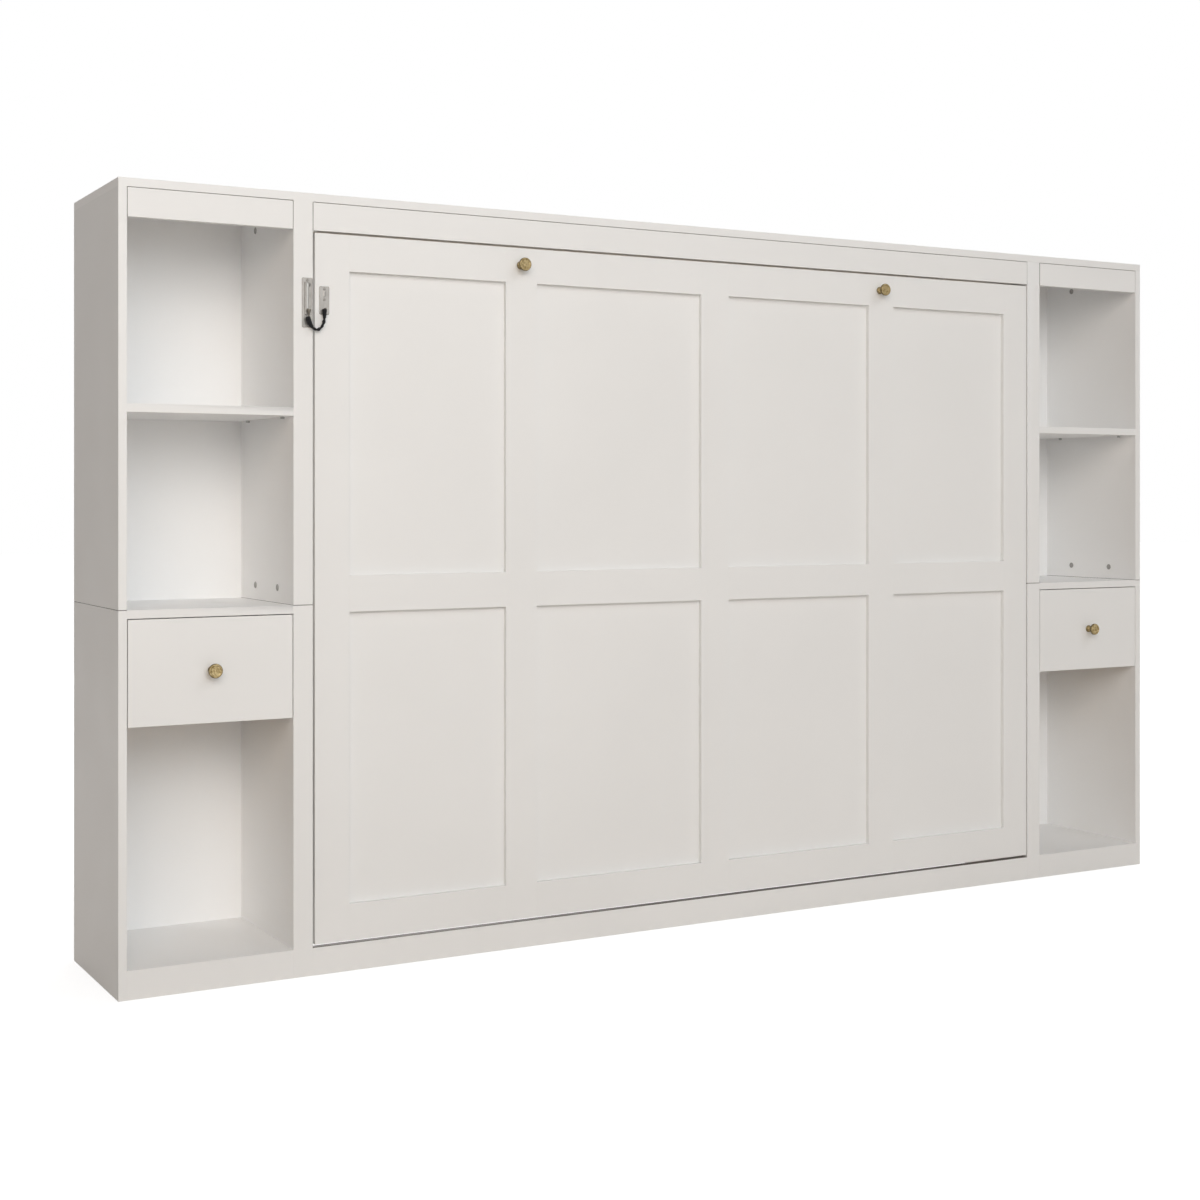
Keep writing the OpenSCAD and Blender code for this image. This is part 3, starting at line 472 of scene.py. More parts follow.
def dressed(name, material, ease=0.5, low=(-1, -far, -far), high=(far, far, far),
            along=(1, 1, 1), segments=2, seam=None):
    """Gives a CAD node its finish and eased edges, ease in mm. Edges outside low to high, as the
    distance from the middle, depth and height, or not along the axes given, stay sharp. seam
    is a height and a wider ease there."""
    node = nodes[name]
    for slot in node.material_slots:
        slot.material = material
    picked = node.modifiers.new("edges", "NODES")
    picked.node_group = edge_picker
    for socket, value in (("Low", low), ("High", high), ("Along", along)):
        picked[socket_of[socket]] = [float(v) for v in value]
    picked[socket_of["Seam"]] = float(seam[0] if seam else -far)
    picked[socket_of["Rest"]] = float(ease / seam[1] if seam else 1)
    if ease:
        bevel = node.modifiers.new("ease", "BEVEL")
        bevel.limit_method = "WEIGHT"
        bevel.width = (seam[1] if seam else ease) * mm
        bevel.segments = segments
    node.modifiers.new("crisp", "NODES").node_group = crisp_maker
    node.modifiers.new("faces", "WEIGHTED_NORMAL").keep_sharp = True


paint_colour = (0.876, 0.88, 0.877)


def lacquer(name, colour, strips=()):
    """White satin lacquer: a faint cloudiness, a fine orange peel and a little uneven gloss. A
    strip of another colour is an axis, its place there, which counts from the middle on X, half
    its width, and its colour."""
    paint = Finish(name, colour, 0.42)
    cloud = paint.noise(2.3, 3)
    coat = paint.ramp(cloud, (0.3, tuple(c * 0.985 for c in colour)),
                      (0.7, tuple(min(c * 1.012, 1) for c in colour)))
    if strips:
        place = paint.tree.nodes.new("ShaderNodeSeparateXYZ")
        paint.join(paint.place, place.inputs[0])
    for axis, at, half, shown in strips:
        gap = place.outputs[axis]
        if axis == "X":
            gap = paint.sums("ABSOLUTE", gap, 0)
        gap = paint.sums("ABSOLUTE", paint.sums("SUBTRACT", gap, at), 0)
        coat = paint.mix(paint.sums("LESS_THAN", gap, half), coat, shown)
    paint.colour(coat)
    paint.rough(paint.noise(9, 4), 0.36, 0.5)
    paint.bump(paint.noise(620, 2), 0.00006, 0.35)
    return paint


# The boards' front edges and outer faces have the colour of the fronts, and elsewhere they are
# painted whiter, as painted light in the bays. The cut edges at the seam and round the fascias are
# bare, and show dark in the joints, and the top of the plinth is painted dark as painted shade in
# the gap under the door.
outer_face, seam_height, plinth_top, fascia_top = 1.447, 0.806, 0.061, 1.6814
# Away from the front edges and outer faces, boards and back panels are painted whiter than the
# fronts: painted light in the bays
whiter_painted_light_colour = (0.945, 0.947, 0.946)
# Dark of the bare joints, and painted shade on the plinth's top
bare_joint_and_plinth_shade = (0.13, 0.115, 0.1)
front_edge = ("Y", front, 0.0008, paint_colour)
white = lacquer("white_board", whiter_painted_light_colour, [front_edge])
dressed("top_panel", white.material, 0.6, low=(-1, -far, 1.6825))
seam_white = lacquer("white_board_at_seam", whiter_painted_light_colour,
                     [front_edge, ("X", outer_face, 0.0008, paint_colour),
                      ("Z", seam_height, 0.0008, bare_joint_and_plinth_shade)])
for side in ("left", "right"):
    for board in ("outer_side", "pillar"):
        for half, top in (("upper", 1.6815), ("lower", far)):
            dressed(f"{side}_{board}_{half}", seam_white.material, 0.6, high=(far, far, top),
                    seam=(seam_height, 0.9), segments=3)
for boards in ("middle_boards", "shelves", "tower_floors", "tower_plinths"):
    dressed(boards, white.material, 0.5, along=(1, 0, 0))
# The top of the plinth is painted dark: painted shade in the gap under the door
plinth_with_painted_shade = lacquer("white_lacquer_bed_plinth", paint_colour,
                   [("Z", plinth_top, 0.001, bare_joint_and_plinth_shade)])
dressed("bed_plinth", plinth_with_painted_shade.material, 0.5, along=(1, 0, 0))
for boards, ends in (("tower_fascias", (1.0696, 1.4284)), ("bed_fascia", (1.0244,))):
    edged = lacquer(f"white_lacquer_{boards}", paint_colour,
                    [("Z", fascia_top, 0.0009, bare_joint_and_plinth_shade),
                     *(("X", end, 0.0007, bare_joint_and_plinth_shade) for end in ends)])
    dressed(boards, edged.material, 0.8)
for rail in ("upper_wall_rail", "lower_wall_rail"):
    dressed(rail, white.material, 0)

# ---------------------------------------------------------------------------------------------
# Tower back panels: 5 mm hardboard, slid into grooves in the boards. They are painted white in
# front, and bare brown behind.
painted_side = 0.3608  # depth behind the front up to which a panel is painted
# The white in front is the whiter colour of the bays, which is painted light
back = lacquer("painted_hardboard", whiter_painted_light_colour)
depth = back.tree.nodes.new("ShaderNodeSeparateXYZ")
back.join(back.place, depth.inputs[0])
behind = back.sums("GREATER_THAN", depth.outputs["Y"], front + painted_side)
fibres = back.ramp(back.noise(240, 5), (0.3, (0.20, 0.115, 0.06)), (0.7, (0.30, 0.185, 0.105)))
painted = back.shader.inputs["Base Color"].links[0].from_socket
back.colour(back.mix(behind, painted, fibres))
dressed("tower_back_panels", back.material, 0)


# ---------------------------------------------------------------------------------------------
# Cam lock covers: moulded grey plastic caps with a raised rim. They are pressed into the inner
# faces of the towers over the locks, four above the seam and four under the top in each.
def eased(profile, cut, steps=6):
    """Corners of a profile rounded: each is replaced by the parabola that starts and ends at its
    cut from the corner on both sides. A cut of 0 keeps the corner."""
    p = np.asarray(profile, float)
    before, after = np.roll(p, 1, 0) - p, np.roll(p, -1, 0) - p
    before[0], after[-1] = 0, 0
    unit_of = lambda v: v / np.maximum(np.linalg.norm(v, axis=1), 1e-9)[:, None]
    t = np.linspace(0, 1, steps)[None, :, None]
    cut = np.asarray(cut, float)[:, None]
    a, b = p + unit_of(before) * cut, p + unit_of(after) * cut
    return ((1 - t) ** 2 * a[:, None] + 2 * t * (1 - t) * p[:, None]
            + t ** 2 * b[:, None]).reshape(-1, 2)


axes = {"x": np.array([[0, 1, 0], [0, 0, 1], [1, 0, 0]], float),
        "y": np.array([[0, 0, 1], [1, 0, 0], [0, 1, 0]], float),
        "z": np.array([[1, 0, 0], [0, 1, 0], [0, 0, 1]], float)}


def turned(profile, centre, axis="y", way=1, sides=48):
    """Rings of a turned form: radius times cosine and sine of the angle across the axis, and
    height along it. The profile has (radius, height) in mm; centre is in mm from the front."""
    r, h = np.asarray(profile, float).T
    angle = np.linspace(0, 2 * np.pi, sides, endpoint=False)
    u, v, w = axes[axis]
    circle = np.cos(angle)[None, :, None] * u + np.sin(angle)[None, :, None] * v
    rings = (r[:, None, None] * circle + way * h[:, None, None] * w
             + np.asarray(centre, float)) * mm
    rings[..., 1] += front
    return rings


cap_profile = eased([[0, 0], [7.5, 0], [7.5, 1.2], [6.1, 1.2], [5.2, 0.3], [0, 0.15]],
                    [0, 0, 0.4, 0.3, 0.6, 0])
cap_depths, cap_heights = (103, 253), (840, 1648)
bay_faces = ((1069, 1), (1429, -1))  # inner faces of a tower from the middle, and their way
caps = [turned(cap_profile, (side * x, y, z), "x", way * side)
        for side in (-1, 1) for y in cap_depths for z in cap_heights for x, way in bay_faces]
cap_plastic = Finish("grey_cap_plastic", (0.34, 0.33, 0.32), 0.4)
cap_plastic.colour(cap_plastic.ramp(cap_plastic.noise(80, 3), (0.3, (0.3, 0.295, 0.285)),
                                    (0.7, (0.4, 0.39, 0.375))))
cap_plastic.rough(cap_plastic.noise(400, 3), 0.32, 0.48)
cap_plastic.bump(cap_plastic.noise(1500, 2), 0.00004, 0.4)
piece("cam_lock_caps", caps, cap_plastic.material, "cabinet", ["cam_lock_covers"])


# ---------------------------------------------------------------------------------------------
# Shelf pins: zinc plated steel pins with a turned groove, pushed into holes in the tower sides.
# Each shelf lies on four.
def zinc_finish(name, light=(0.56, 0.56, 0.55), dark=(0.44, 0.44, 0.43), low=0.3, high=0.5):
    """Zinc plated or galvanised steel: grey metal with cloudy patches and fine scratches."""
    zinc = Finish(name, light, 0.4, metal=1.0)
    zinc.colour(zinc.ramp(zinc.noise(45, 5, distortion=0.6), (0.3, dark), (0.7, light)))
    zinc.rough(zinc.noise(160, 4), low, high)
    zinc.bump(zinc.noise(900, 3), 0.00003, 0.4)
    return zinc


zinc = zinc_finish("zinc_plated_steel")
pin_profile = eased([[0, 0], [2.5, 0], [2.5, 2.4], [2.1, 2.8], [2.1, 3.4], [2.5, 3.8], [2.5, 8],
                     [0, 8]], [0, 0, 0.1, 0.1, 0.1, 0.1, 0.8, 0])
pin_depths, pin_height = (60, 296), 1213.5
pins = [turned(pin_profile, (side * x, y, pin_height), "x", way * side, 24)
        for side in (-1, 1) for y in pin_depths for x, way in bay_faces]
piece("shelf_support_pins", pins, zinc.material, "cabinet", ["shelf_pins"])

# ---------------------------------------------------------------------------------------------
# Drawers: lacquered MDF fronts, screwed on bare plywood boxes. They run on channel slides of
# folded zinc plated steel between box and tower.
def bare_wood(name, along, light, dark, grain=70.0, pitch=None, gloss=(0.5, 0.7)):
    """Sanded wood: growth bands and pores stretched along the grain. With a pitch, the start of a
    row of boards left of the middle and its step in metres, each board along X gets its own tone
    and its own piece of the pattern."""
    wood = Finish(name, light, 0.6)
    slow = [0.045 if along == a else 1.0 for a in "xyz"]
    place = wood.stretched(slow)
    if pitch:
        split = wood.tree.nodes.new("ShaderNodeSeparateXYZ")
        wood.join(wood.place, split.inputs[0])
        row = wood.sums("FLOOR", wood.sums("DIVIDE", wood.sums(
            "ADD", split.outputs["X"], pitch[0]), pitch[1]), 0)
        dice = wood.tree.nodes.new("ShaderNodeTexWhiteNoise")
        dice.noise_dimensions = "1D"
        wood.join(row, dice.inputs["W"])
        shift = wood.tree.nodes.new("ShaderNodeVectorMath")
        shift.operation = "ADD"
        wood.join(place, shift.inputs[0])
        wood.join(dice.outputs["Color"], shift.inputs[1])
        place = shift.outputs[0]
    bands = wood.noise(grain, 5, place, 1.2)
    fibre = wood.noise(grain * 9, 3, place, 0.2)
    tone = wood.mix(0.28, wood.ramp(bands, (0.32, dark), (0.62, light)),
                    wood.ramp(fibre, (0.35, tuple(c * 0.72 for c in dark)), (0.6, light)))
    if pitch:
        tone = wood.mix(1.0, tone, wood.ramp(dice.outputs["Value"], (0.0, 0.9), (1.0, 1.0)),
                        "MULTIPLY")
    wood.colour(tone)
    wood.rough(bands, *gloss)
    wood.bump(fibre, 0.00012, 0.5)
    return wood


steel_slide = zinc_finish("folded_zinc_steel", (0.6, 0.6, 0.6), (0.5, 0.5, 0.5), 0.25, 0.42)
box_wood = bare_wood("birch_plywood", "x", (0.66, 0.5, 0.32), (0.52, 0.37, 0.21), 38)
front_white = lacquer("white_lacquer_fronts", paint_colour)
for side in ("left", "right"):
    dressed(f"{side}_drawer_front", front_white.material, 0.5)
    dressed(f"{side}_drawer_box", box_wood.material, 0.6)
    dressed(f"{side}_drawer_runners", steel_slide.material, 0.2)
dressed("drawer_tracks", steel_slide.material, 0.2)

# ---------------------------------------------------------------------------------------------
# Knobs: turned brass with an aged finish, a dished face inside a rounded rim, a thin neck and a
# stepped base, screwed on from behind. Two stand on the door and one on each drawer front.
knob_profile = eased([[0, 0], [9.5, 0], [9.5, 2.2], [8.3, 3.3], [6.9, 3.9], [5.6, 5.2], [5.2, 8.5],
                      [5.5, 15.5], [8.2, 19.2], [13.6, 20.9], [15.5, 22.4], [15.5, 25.6],
                      [13.9, 28], [11.6, 28], [10.9, 27.2], [9.8, 26.9], [0, 26.9]],
                     [0, 0, 0.7, 0.5, 0.5, 0.8, 1.6, 2.0, 1.6, 1.3, 0.8, 1.2, 0.9, 0.35, 0.3,
                      0.4, 0])
# Reach of the patina and the painted highlight in metres: a little more than the knob's radius,
# its length, and the distance between turning lines
knob_radius, knob_length, line_pitch = 0.016, 0.028, 0.00045


def aged_brass(name, middles):
    """Aged brass: warm metal, browned in cloudy patches and in the groove of the face, darker on
    the foot and on the outside of the rim, and lighter on the neck as a painted highlight, with
    fine turning lines round each knob's own axis. They follow the depth and the distance to the
    nearest middle, (x, z) in mm."""
    brass = Finish(name, (0.36, 0.27, 0.12), 0.3, metal=1.0)
    nearest = None
    for x, z in middles:
        gap = brass.tree.nodes.new("ShaderNodeVectorMath")
        gap.operation = "DISTANCE"
        flat = brass.tree.nodes.new("ShaderNodeMapping")
        flat.inputs["Scale"].default_value = (1, 0, 1)
        brass.join(brass.place, flat.inputs["Vector"])
        brass.join(flat.outputs["Vector"], gap.inputs[0])
        gap.inputs[1].default_value = (x * mm, 0, z * mm)
        away = gap.outputs["Value"]
        nearest = away if nearest is None else brass.sums("MINIMUM", nearest, away)
    lines = brass.sums("SINE", brass.sums("MULTIPLY", nearest, 2 * np.pi / line_pitch), 0)
    patina = brass.noise(210, 4, distortion=0.8)
    metal = brass.ramp(patina, (0.34, (0.3, 0.21, 0.08)), (0.66, (0.76, 0.6, 0.33)))
    groove_patina_and_dark_rim = brass.ramp(brass.sums("MULTIPLY", nearest, 1 / knob_radius), (0.0, 0.92), (0.62, 1.0),
                      (0.68, 0.4), (0.74, 1.0), (0.85, 0.85), (0.96, 0.4))
    place = brass.tree.nodes.new("ShaderNodeSeparateXYZ")
    brass.join(brass.place, place.inputs[0])
    depth = brass.sums("MULTIPLY", brass.sums("SUBTRACT", front, place.outputs["Y"]),
                       1 / knob_length)
    # Darker on the foot, and lighter on the neck as a painted highlight
    dark_foot_and_neck_highlight = brass.ramp(depth, (0.0, 0.3), (0.15, 0.3), (0.19, 0.85), (0.5, 0.85), (0.68, 0.64),
                         (1.0, 0.64))
    metal = brass.mix(1.0, brass.mix(1.0, metal, groove_patina_and_dark_rim, "MULTIPLY"), dark_foot_and_neck_highlight, "MULTIPLY")
    brass.colour(metal)
    brass.rough(patina, 0.38, 0.2)
    brass.bump(lines, 0.00001, 0.35)
    return brass


door_knobs = [(-520, 1575), (520, 1575)]
drawer_knobs = {"left": (-1249, 674.5), "right": (1249, 674.5)}
brass = aged_brass("aged_brass_door", door_knobs)
piece("door_knob_pair", [turned(knob_profile, (x, 0, z), "y", -1, 64) for x, z in door_knobs],
      brass.material, "bed", ["front_knobs"], 30)
for side, (x, z) in drawer_knobs.items():
    brass = aged_brass(f"aged_brass_{side}", [(x, z)])
    piece(f"{side}_drawer_turned_knob", [turned(knob_profile, (x, 0, z), "y", -1, 64)],
          brass.material, f"{side}_drawer", [f"{side}_drawer_knob"], 30)

# ---------------------------------------------------------------------------------------------
# Door: a thin MDF board with stiles and rails glued on its face and sprayed in one go, so that no
# joint shows between them. Their side faces in the recesses are painted greyer, the rails' most,
# as painted shade in the recesses.
trim_depth, face_skin = 0.012, 0.0005  # in metres; the skin is what counts as the trim's face
dressed("front_board", front_white.material, 0.5)
# The second colour is painted shade on the trims' sides in the recesses
for trim, recess_painted_shade, ease, along in (("stiles", (0.836, 0.84, 0.835), 0.3, (1, 1, 1)),
                                    ("rails", (0.77, 0.77, 0.76), 0.5, (1, 0, 0))):
    trimmed = lacquer(f"white_lacquer_{trim}", paint_colour,
                      [("Y", front + trim_depth / 2, trim_depth / 2 - face_skin, recess_painted_shade)])
    dressed(f"front_{trim}", trimmed.material, ease,
            high=(far, front + trim_depth - face_skin, far), along=along)


# ---------------------------------------------------------------------------------------------
# Safety latch, track side: a pressed steel plate with a raised channel, slotted for the sliding
# stud, with a round hole at the top where the stud's head comes out. Two screws hold it.
def outline(half, low, high, corner, head=None):
    """Closed outline in the X-Z plane: half a rounded rectangle upwards at the right, mirrored
    down at the left. head (height, radius) puts a round hole's arc over the sides instead."""
    turn = np.linspace(-np.pi / 2, 0, 7)
    foot = np.stack([half - corner + corner * np.cos(turn),
                     low + corner + corner * np.sin(turn)], -1)
    if head:
        centre, reach = (0, head[0]), head[1]
        start = -np.arccos(half / reach)
    else:
        centre, reach, start = (half - corner, high - corner), corner, 0
    turn = np.linspace(start, np.pi / 2, 15)
    top = np.stack([centre[0] + reach * np.cos(turn), centre[1] + reach * np.sin(turn)], -1)
    t = np.linspace(0, 1, 12)[1:-1, None]
    right = np.concatenate([foot, foot[-1] * (1 - t) + top[0] * t, top])
    return np.concatenate([right, right[::-1] * [-1, 1]])


def pressed(layers, middle):
    """Rings of a pressed plate. A layer is what its outline takes, and then its depth from the
    cabinet's front, which is less than 0 before it, all in mm."""
    rings = np.array([np.insert(outline(*shape), 1, depth, axis=1)
                      for *shape, depth in layers]) * mm
    return rings + np.array([middle * mm, front, 0])


track_middle, anchor_middle = -1038, -999  # middles of the two plates along X, in mm
slot_low, slot_half, hole_height, hole_radius = 1442, 2.5, 1500, 4.8
slot = (slot_half, slot_low, 0, slot_half, (hole_height, hole_radius))
wide_slot = (slot_half + 0.3, slot_low - 0.3, 0, slot_half + 0.3,
             (hole_height, hole_radius + 0.3))
track_layers = [
    # back and rim of the plate
    (0.01, 1412, 1512, 0.005, 0), (12, 1408, 1516, 2.5, 0), (12, 1408, 1516, 2.5, -1.5),
    (11.85, 1408.15, 1515.85, 2.4, -1.85), (11.5, 1408.5, 1515.5, 2.1, -2),
    # outside of the raised channel
    (7.3, 1434.2, 1507.8, 2.4, -2), (6.75, 1434.75, 1507.25, 2.1, -2.15),
    (6.5, 1435, 1507, 2, -2.6), (6.5, 1435, 1507, 2, -5), (6.3, 1435.2, 1506.8, 1.9, -5.6),
    (5.8, 1435.7, 1506.3, 1.6, -5.93), (5.3, 1436.2, 1505.8, 1.3, -6),
    # slot, and the hollow of the channel behind it
    (*wide_slot, -6), (*slot, -5.75), (*slot, -5), (5.5, 1436, 1506, 1, -5),
    (5.5, 1436, 1506, 1, -3.1), (0.01, 1440, 1502, 0.005, -3.1)]


def latch_metal(name, light=(0.345, 0.33, 0.308), dark=(0.235, 0.222, 0.206)):
    """Brushed nickel-plated steel: fine vertical lines in the colour, gloss and bump."""
    steel = Finish(name, light, 0.5, metal=1.0)
    lines = steel.noise(900, 3, steel.stretched((1, 1, 0.02)))
    cloud = steel.noise(60, 3)
    steel.colour(steel.mix(0.5, steel.ramp(lines, (0.3, dark), (0.7, light)),
                           steel.ramp(cloud, (0.3, dark), (0.7, light))))
    steel.rough(lines, 0.42, 0.58)
    steel.bump(lines, 0.00003, 0.5)
    return steel


# The floor of the channel is painted lighter where it shows through the slot, as a painted
# highlight
track_steel = latch_metal("brushed_track_steel")
slot_painted_highlight, slot_highlight_half = (0.43, 0.42, 0.4), 0.0018
channel_floor, skin = 0.0031, 0.0003  # depth before the cabinet's front, and tolerance
place = track_steel.tree.nodes.new("ShaderNodeSeparateXYZ")
track_steel.join(track_steel.place, place.inputs[0])
slot_highlight_mask = 1
for axis, middle, half in (("X", track_middle * mm, slot_highlight_half),
                           ("Y", front - channel_floor, skin)):
    off = track_steel.sums("SUBTRACT", place.outputs[axis], middle)
    near = track_steel.sums("LESS_THAN", track_steel.sums("ABSOLUTE", off, 0), half)
    slot_highlight_mask = track_steel.sums("MULTIPLY", slot_highlight_mask, near)
brushed = track_steel.shader.inputs["Base Color"].links[0].from_socket
track_steel.colour(track_steel.mix(slot_highlight_mask, brushed, slot_painted_highlight))
piece("latch_track_plate", [pressed(track_layers, track_middle)], track_steel.material,
      "cabinet", ["latch_track"])


# ---------------------------------------------------------------------------------------------
# Track plate screws: two nickel-plated steel screws with domed heads and a cross recess, driven
# through the plate into the pillar
latch_steel = latch_metal("brushed_latch_steel")


def screw_rings(x, z, turn, radius=3.25, height=1.6, rows=13, sides=48):
    """Domed disc: height times the root of 1 minus the fourth power of the radius, less a cross
    of four arms that fades out along and across each arm."""
    share = np.linspace(1, 0, rows)[:, None]
    angle = np.linspace(0, 2 * np.pi, sides, endpoint=False)[None, :]
    a, b = share * np.cos(angle - turn), share * np.sin(angle - turn)
    arm = lambda p, q: (1 / (1 + np.exp((np.abs(p) - 0.62) / 0.03))
                        / (1 + np.exp((np.abs(q) - 0.13) / 0.03)))
    dome = height * (1 - share ** 4) ** 0.5 * (0.8 + 0.2 * (1 - share ** 2))
    high = np.maximum(dome - 0.9 * np.maximum(arm(a, b), arm(b, a)), 0)
    rings = np.stack([x + radius * share * np.cos(angle), -2 - high,
                      z + radius * share * np.sin(angle)], -1)
    foot = rings[:1].copy()
    foot[..., 1] = -1.9
    rings = np.concatenate([foot, rings]) * mm
    return rings + np.array([0, front, 0])


track_screws = ((1414, 0.5), (1511, 1.1))  # height in mm, and turn of the recess
piece("latch_track_screws", [screw_rings(track_middle, z, turn) for z, turn in track_screws],
      latch_steel.material, "cabinet", ["latch_screws"], 50)

# ---------------------------------------------------------------------------------------------
# Safety latch, door side: a pressed steel plate with an oval rib and two screws, on the door's
# left stile, and a darker riveted peg that holds the last link of the chain
door_layers = [
    (0.01, 1439, 1498, 0.005, 0), (11.3, 1437.7, 1499.3, 2.5, 0),
    (11.3, 1437.7, 1499.3, 2.5, -1.5), (11.15, 1437.85, 1499.15, 2.4, -1.85),
    (10.8, 1438.2, 1498.8, 2.1, -2),
    # rib
    (3.4, 1475.2, 1489.6, 3.3, -2), (2.9, 1475.7, 1489.1, 2.85, -2.15),
    (2.3, 1476.3, 1488.5, 2.25, -2.6), (1.5, 1477.1, 1487.7, 1.45, -2.8),
    (0.01, 1478.6, 1486.2, 0.005, -2.85)]
piece("latch_door_plate", [pressed(door_layers, anchor_middle)],
      latch_steel.material, "bed", ["latch_anchor"])
dark_steel = latch_metal("dark_latch_steel", (0.2, 0.18, 0.15), (0.08, 0.07, 0.055))
peg_height = 1450.5
peg = turned(eased([[0, 1.9], [1.2, 1.9], [1.2, 12.2], [1.2, 13], [0, 13]], [0, 0, 0, 0.5, 0]),
             (anchor_middle, 0, peg_height), "y", -1, 24)
piece("latch_door_peg", [peg], dark_steel.material, "bed")
door_screws = ((1494, 0.2), (1470.5, 0.9))
piece("latch_door_screws", [screw_rings(anchor_middle, z, turn) for z, turn in door_screws],
      latch_steel.material, "bed", ["anchor_screws"], 50)

# ---------------------------------------------------------------------------------------------
# Sliding stud: turned dark steel. Its head runs in the channel of the track, its neck in the
# slot, and the chain hangs from the cone in front of it.
stud_height, cone_height, neck_foot = 1444.55, 1438.05, 1431.3
neck = turned(eased([[0, 4.95], [2.45, 4.95], [2.45, 11], [0, 11]], [0, 0, 0, 0], 2),
              (track_middle, 0, stud_height), "y", -1, 32)
head = turned(eased([[0, 3.45], [4.3, 3.45], [4.3, 4.95], [0, 4.95]], [0, 0.3, 0.3, 0]),
              (track_middle, 0, stud_height), "y", -1, 40)
cone = turned(eased([[0, 8.4], [4.6, 8.4], [4.9, 7.8], [4.9, 6.6], [1.7, -1.6], [1.2, -2.2],
                     [1.2, neck_foot - cone_height], [0, neck_foot - cone_height]],
                    [0, 0.3, 0.2, 0.5, 0.4, 0.2, 0, 0]),
              (track_middle, -chain_depth, cone_height), "z", 1, 40)
piece("latch_sliding_stud", [head, neck, cone], dark_steel.material, "latch_stud_body",
      ["latch_stud"])

# ---------------------------------------------------------------------------------------------
# Bed frame: planed pine rails, ledges and centre beam, glued and screwed behind the door. The
# grain runs along each piece.
pine_light, pine_dark = (0.72, 0.55, 0.35), (0.60, 0.42, 0.24)
pine_x = bare_wood("planed_pine_lengthwise", "x", pine_light, pine_dark, 42)
pine_z = bare_wood("planed_pine_upright", "z", pine_light, pine_dark, 42)
dressed("frame_long_rails", pine_x.material, 1.2)
dressed("frame_end_rails", pine_z.material, 1.2)
dressed("frame_center_beam", pine_x.material, 1.2)
dressed("slat_ledges", pine_x.material, 1.0)

# ---------------------------------------------------------------------------------------------
# Slats: fourteen birch boards with rounded edges, laid on the ledges and screwed to the beam.
# Each has a tone and a grain of its own.
first_slat, slat_pitch = 0.9554, 0.13646  # start left of the middle, and step, in metres
slat_wood = bare_wood("birch_slats", "z", (0.74, 0.59, 0.4), (0.63, 0.47, 0.29), 55,
                      (first_slat, slat_pitch))
dressed("slats", slat_wood.material, 2.5, segments=3)


# ---------------------------------------------------------------------------------------------
# Mattress straps: two bands of grey polypropylene webbing, 40 mm wide, that lie across the slats
# and are turned up and stapled on the end rails
strap_end, strap_depth, strap_top = 956, 69, 92  # from the middle, and depths behind the front
strap_heights = (601, 1219)


def strap_rings(height):
    """Flat band along X whose ends turn up: a rounded path in the X-Y plane, with a cross-section
    that is a flat oval, wide along Z and 2 mm thick across the path."""
    corners = [[-strap_end, strap_top], [-strap_end, strap_depth],
               [strap_end, strap_depth], [strap_end, strap_top]]
    path = eased(corners, [0, 2.2, 2.2, 0], 8)
    path = path[np.r_[True, np.linalg.norm(np.diff(path, axis=0), axis=1) > 1e-6]]
    way = np.gradient(path, axis=0)
    way /= np.linalg.norm(way, axis=1)[:, None]
    side = np.stack([way[:, 1], -way[:, 0]], -1)
    angle = np.linspace(0, 2 * np.pi, 20, endpoint=False)
    wide = 20 * np.sign(np.cos(angle)) * np.abs(np.cos(angle)) ** 0.25
    thick = 1.0 * np.sign(np.sin(angle)) * np.abs(np.sin(angle)) ** 0.5
    ring = path[:, None] + side[:, None] * thick[None, :, None]
    rings = np.concatenate([ring, np.broadcast_to(height + wide, ring.shape[:2])[..., None]], -1)
    return rings * mm + np.array([0, front, 0])


webbing = Finish("grey_webbing", (0.09, 0.09, 0.095), 0.8)
across = webbing.bands(310, "Z")
cloth = webbing.sums("MULTIPLY", across, webbing.bands(200, "DIAGONAL"))
webbing.colour(webbing.ramp(cloth, (0.1, (0.045, 0.045, 0.05)), (0.9, (0.16, 0.16, 0.17))))
webbing.rough(webbing.noise(500, 2), 0.7, 0.9)
webbing.bump(cloth, 0.0003, 0.7)
webbing.shader.inputs["Sheen Weight"].default_value = 0.2
piece("mattress_strap_bands", [strap_rings(z) for z in strap_heights], webbing.material,
      "bed", ["mattress_straps"])

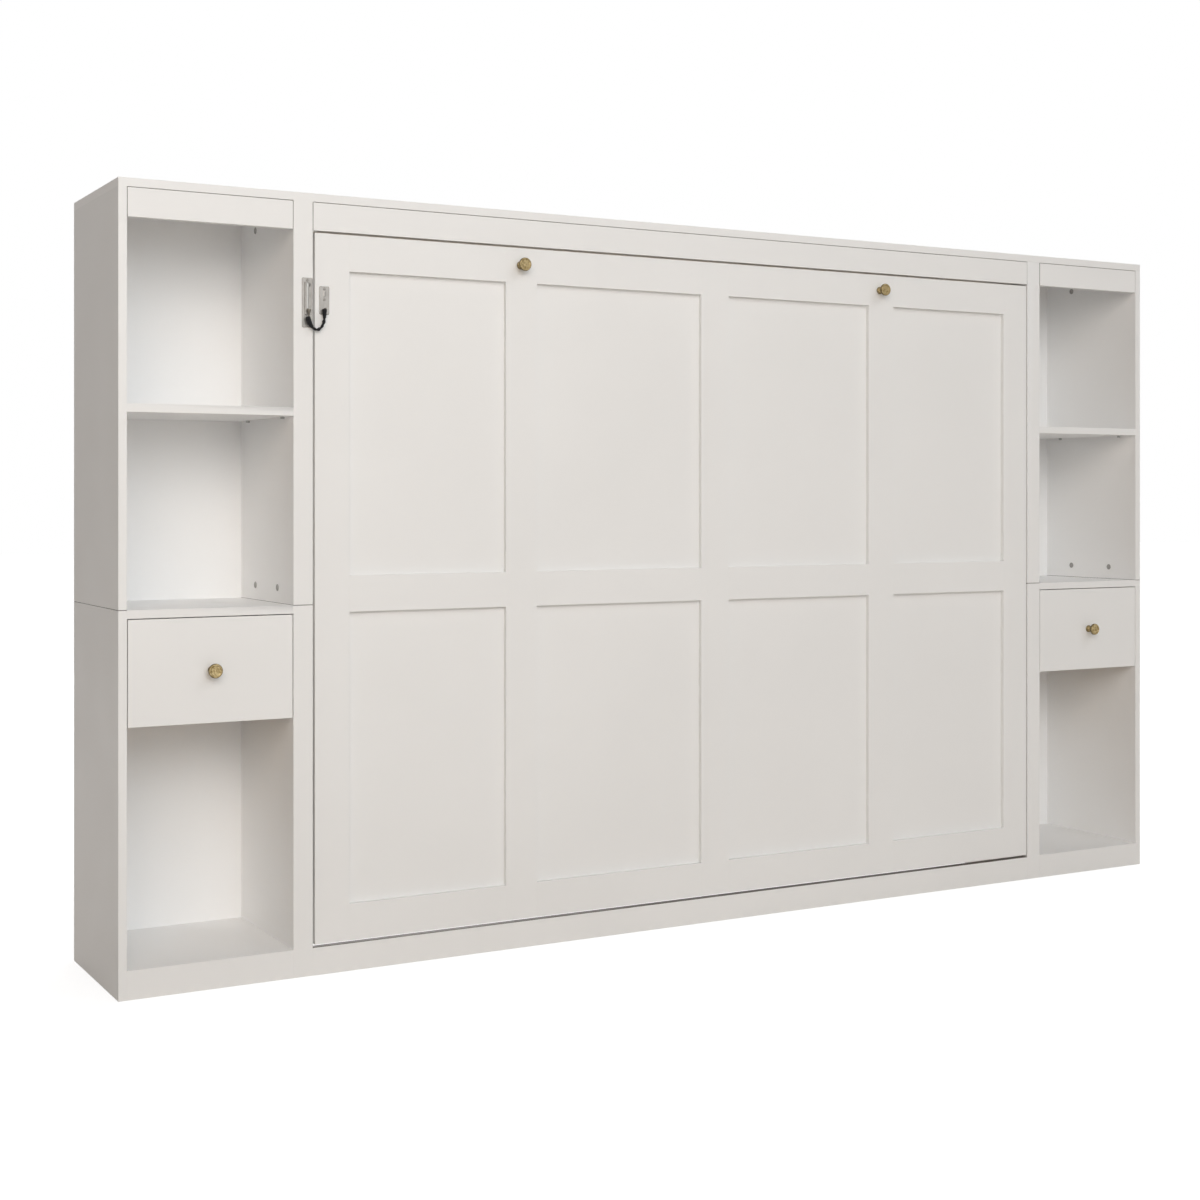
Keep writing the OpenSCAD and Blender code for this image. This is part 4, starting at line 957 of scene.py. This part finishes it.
# ---------------------------------------------------------------------------------------------
# Bed pivots: steel plates on the bed turn on shouldered pins in brackets on the pillars, with
# flanged bushes between them
pivot_black = Finish("black_oxide_steel", (0.05, 0.05, 0.052), 0.4, metal=0.9)
pivot_black.colour(pivot_black.ramp(pivot_black.noise(120, 4), (0.3, (0.035, 0.035, 0.037)),
                                    (0.7, (0.075, 0.075, 0.078))))
pivot_black.rough(pivot_black.noise(300, 3), 0.3, 0.5)
pivot_black.bump(pivot_black.noise(1100, 2), 0.00002, 0.5)
for node in ("pivot_brackets", "pivot_plates", "strut_anchors"):
    dressed(node, zinc.material, 0.5)
for node in ("pivot_pins", "pivot_bushes", "leg_pins"):
    dressed(node, pivot_black.material, 0.3)

# ---------------------------------------------------------------------------------------------
# Gas struts: black lacquered cylinders with polished steel rods. The cylinders turn on the
# pillars' anchors, and the rods' eyes on the studs of the bed.
strut_black = Finish("black_strut_lacquer", (0.02, 0.02, 0.021), 0.25)
strut_black.rough(strut_black.noise(40, 3), 0.2, 0.34)
strut_black.colour(strut_black.ramp(strut_black.noise(60, 3), (0.3, (0.016, 0.016, 0.017)),
                                    (0.7, (0.028, 0.028, 0.03))))
strut_black.bump(strut_black.noise(500, 2), 0.00003, 0.3)
rod_steel = zinc_finish("polished_rod_steel", (0.72, 0.72, 0.72), (0.66, 0.66, 0.66), 0.1, 0.2)
for side in ("left", "right"):
    dressed(f"{side}_strut_cylinder", strut_black.material, 0.4)
    dressed(f"{side}_strut_rod", rod_steel.material, 0.3)

# ---------------------------------------------------------------------------------------------
# Legs: square steel bars with a fine black powder coat, which swing on pins at the end rails.
# Their feet are moulded black rubber, pushed on.
powder = Finish("black_powder_coat", (0.03, 0.03, 0.032), 0.6)
powder.colour(powder.ramp(powder.noise(350, 2), (0.3, (0.022, 0.022, 0.024)),
                          (0.7, (0.045, 0.045, 0.048))))
powder.rough(powder.noise(200, 3), 0.5, 0.68)
powder.bump(powder.noise(900, 2), 0.00012, 0.6)
rubber = Finish("black_rubber", (0.02, 0.02, 0.02), 0.85)
rubber.colour(rubber.ramp(rubber.noise(90, 4), (0.3, (0.015, 0.015, 0.015)),
                          (0.7, (0.03, 0.03, 0.031))))
rubber.rough(rubber.noise(260, 3), 0.75, 0.95)
rubber.bump(rubber.noise(700, 3), 0.0001, 0.6)
for side in ("left", "right"):
    dressed(f"{side}_leg", powder.material, 1.5, segments=3)
    dressed(f"{side}_leg_foot", rubber.material, 2.5, segments=3)
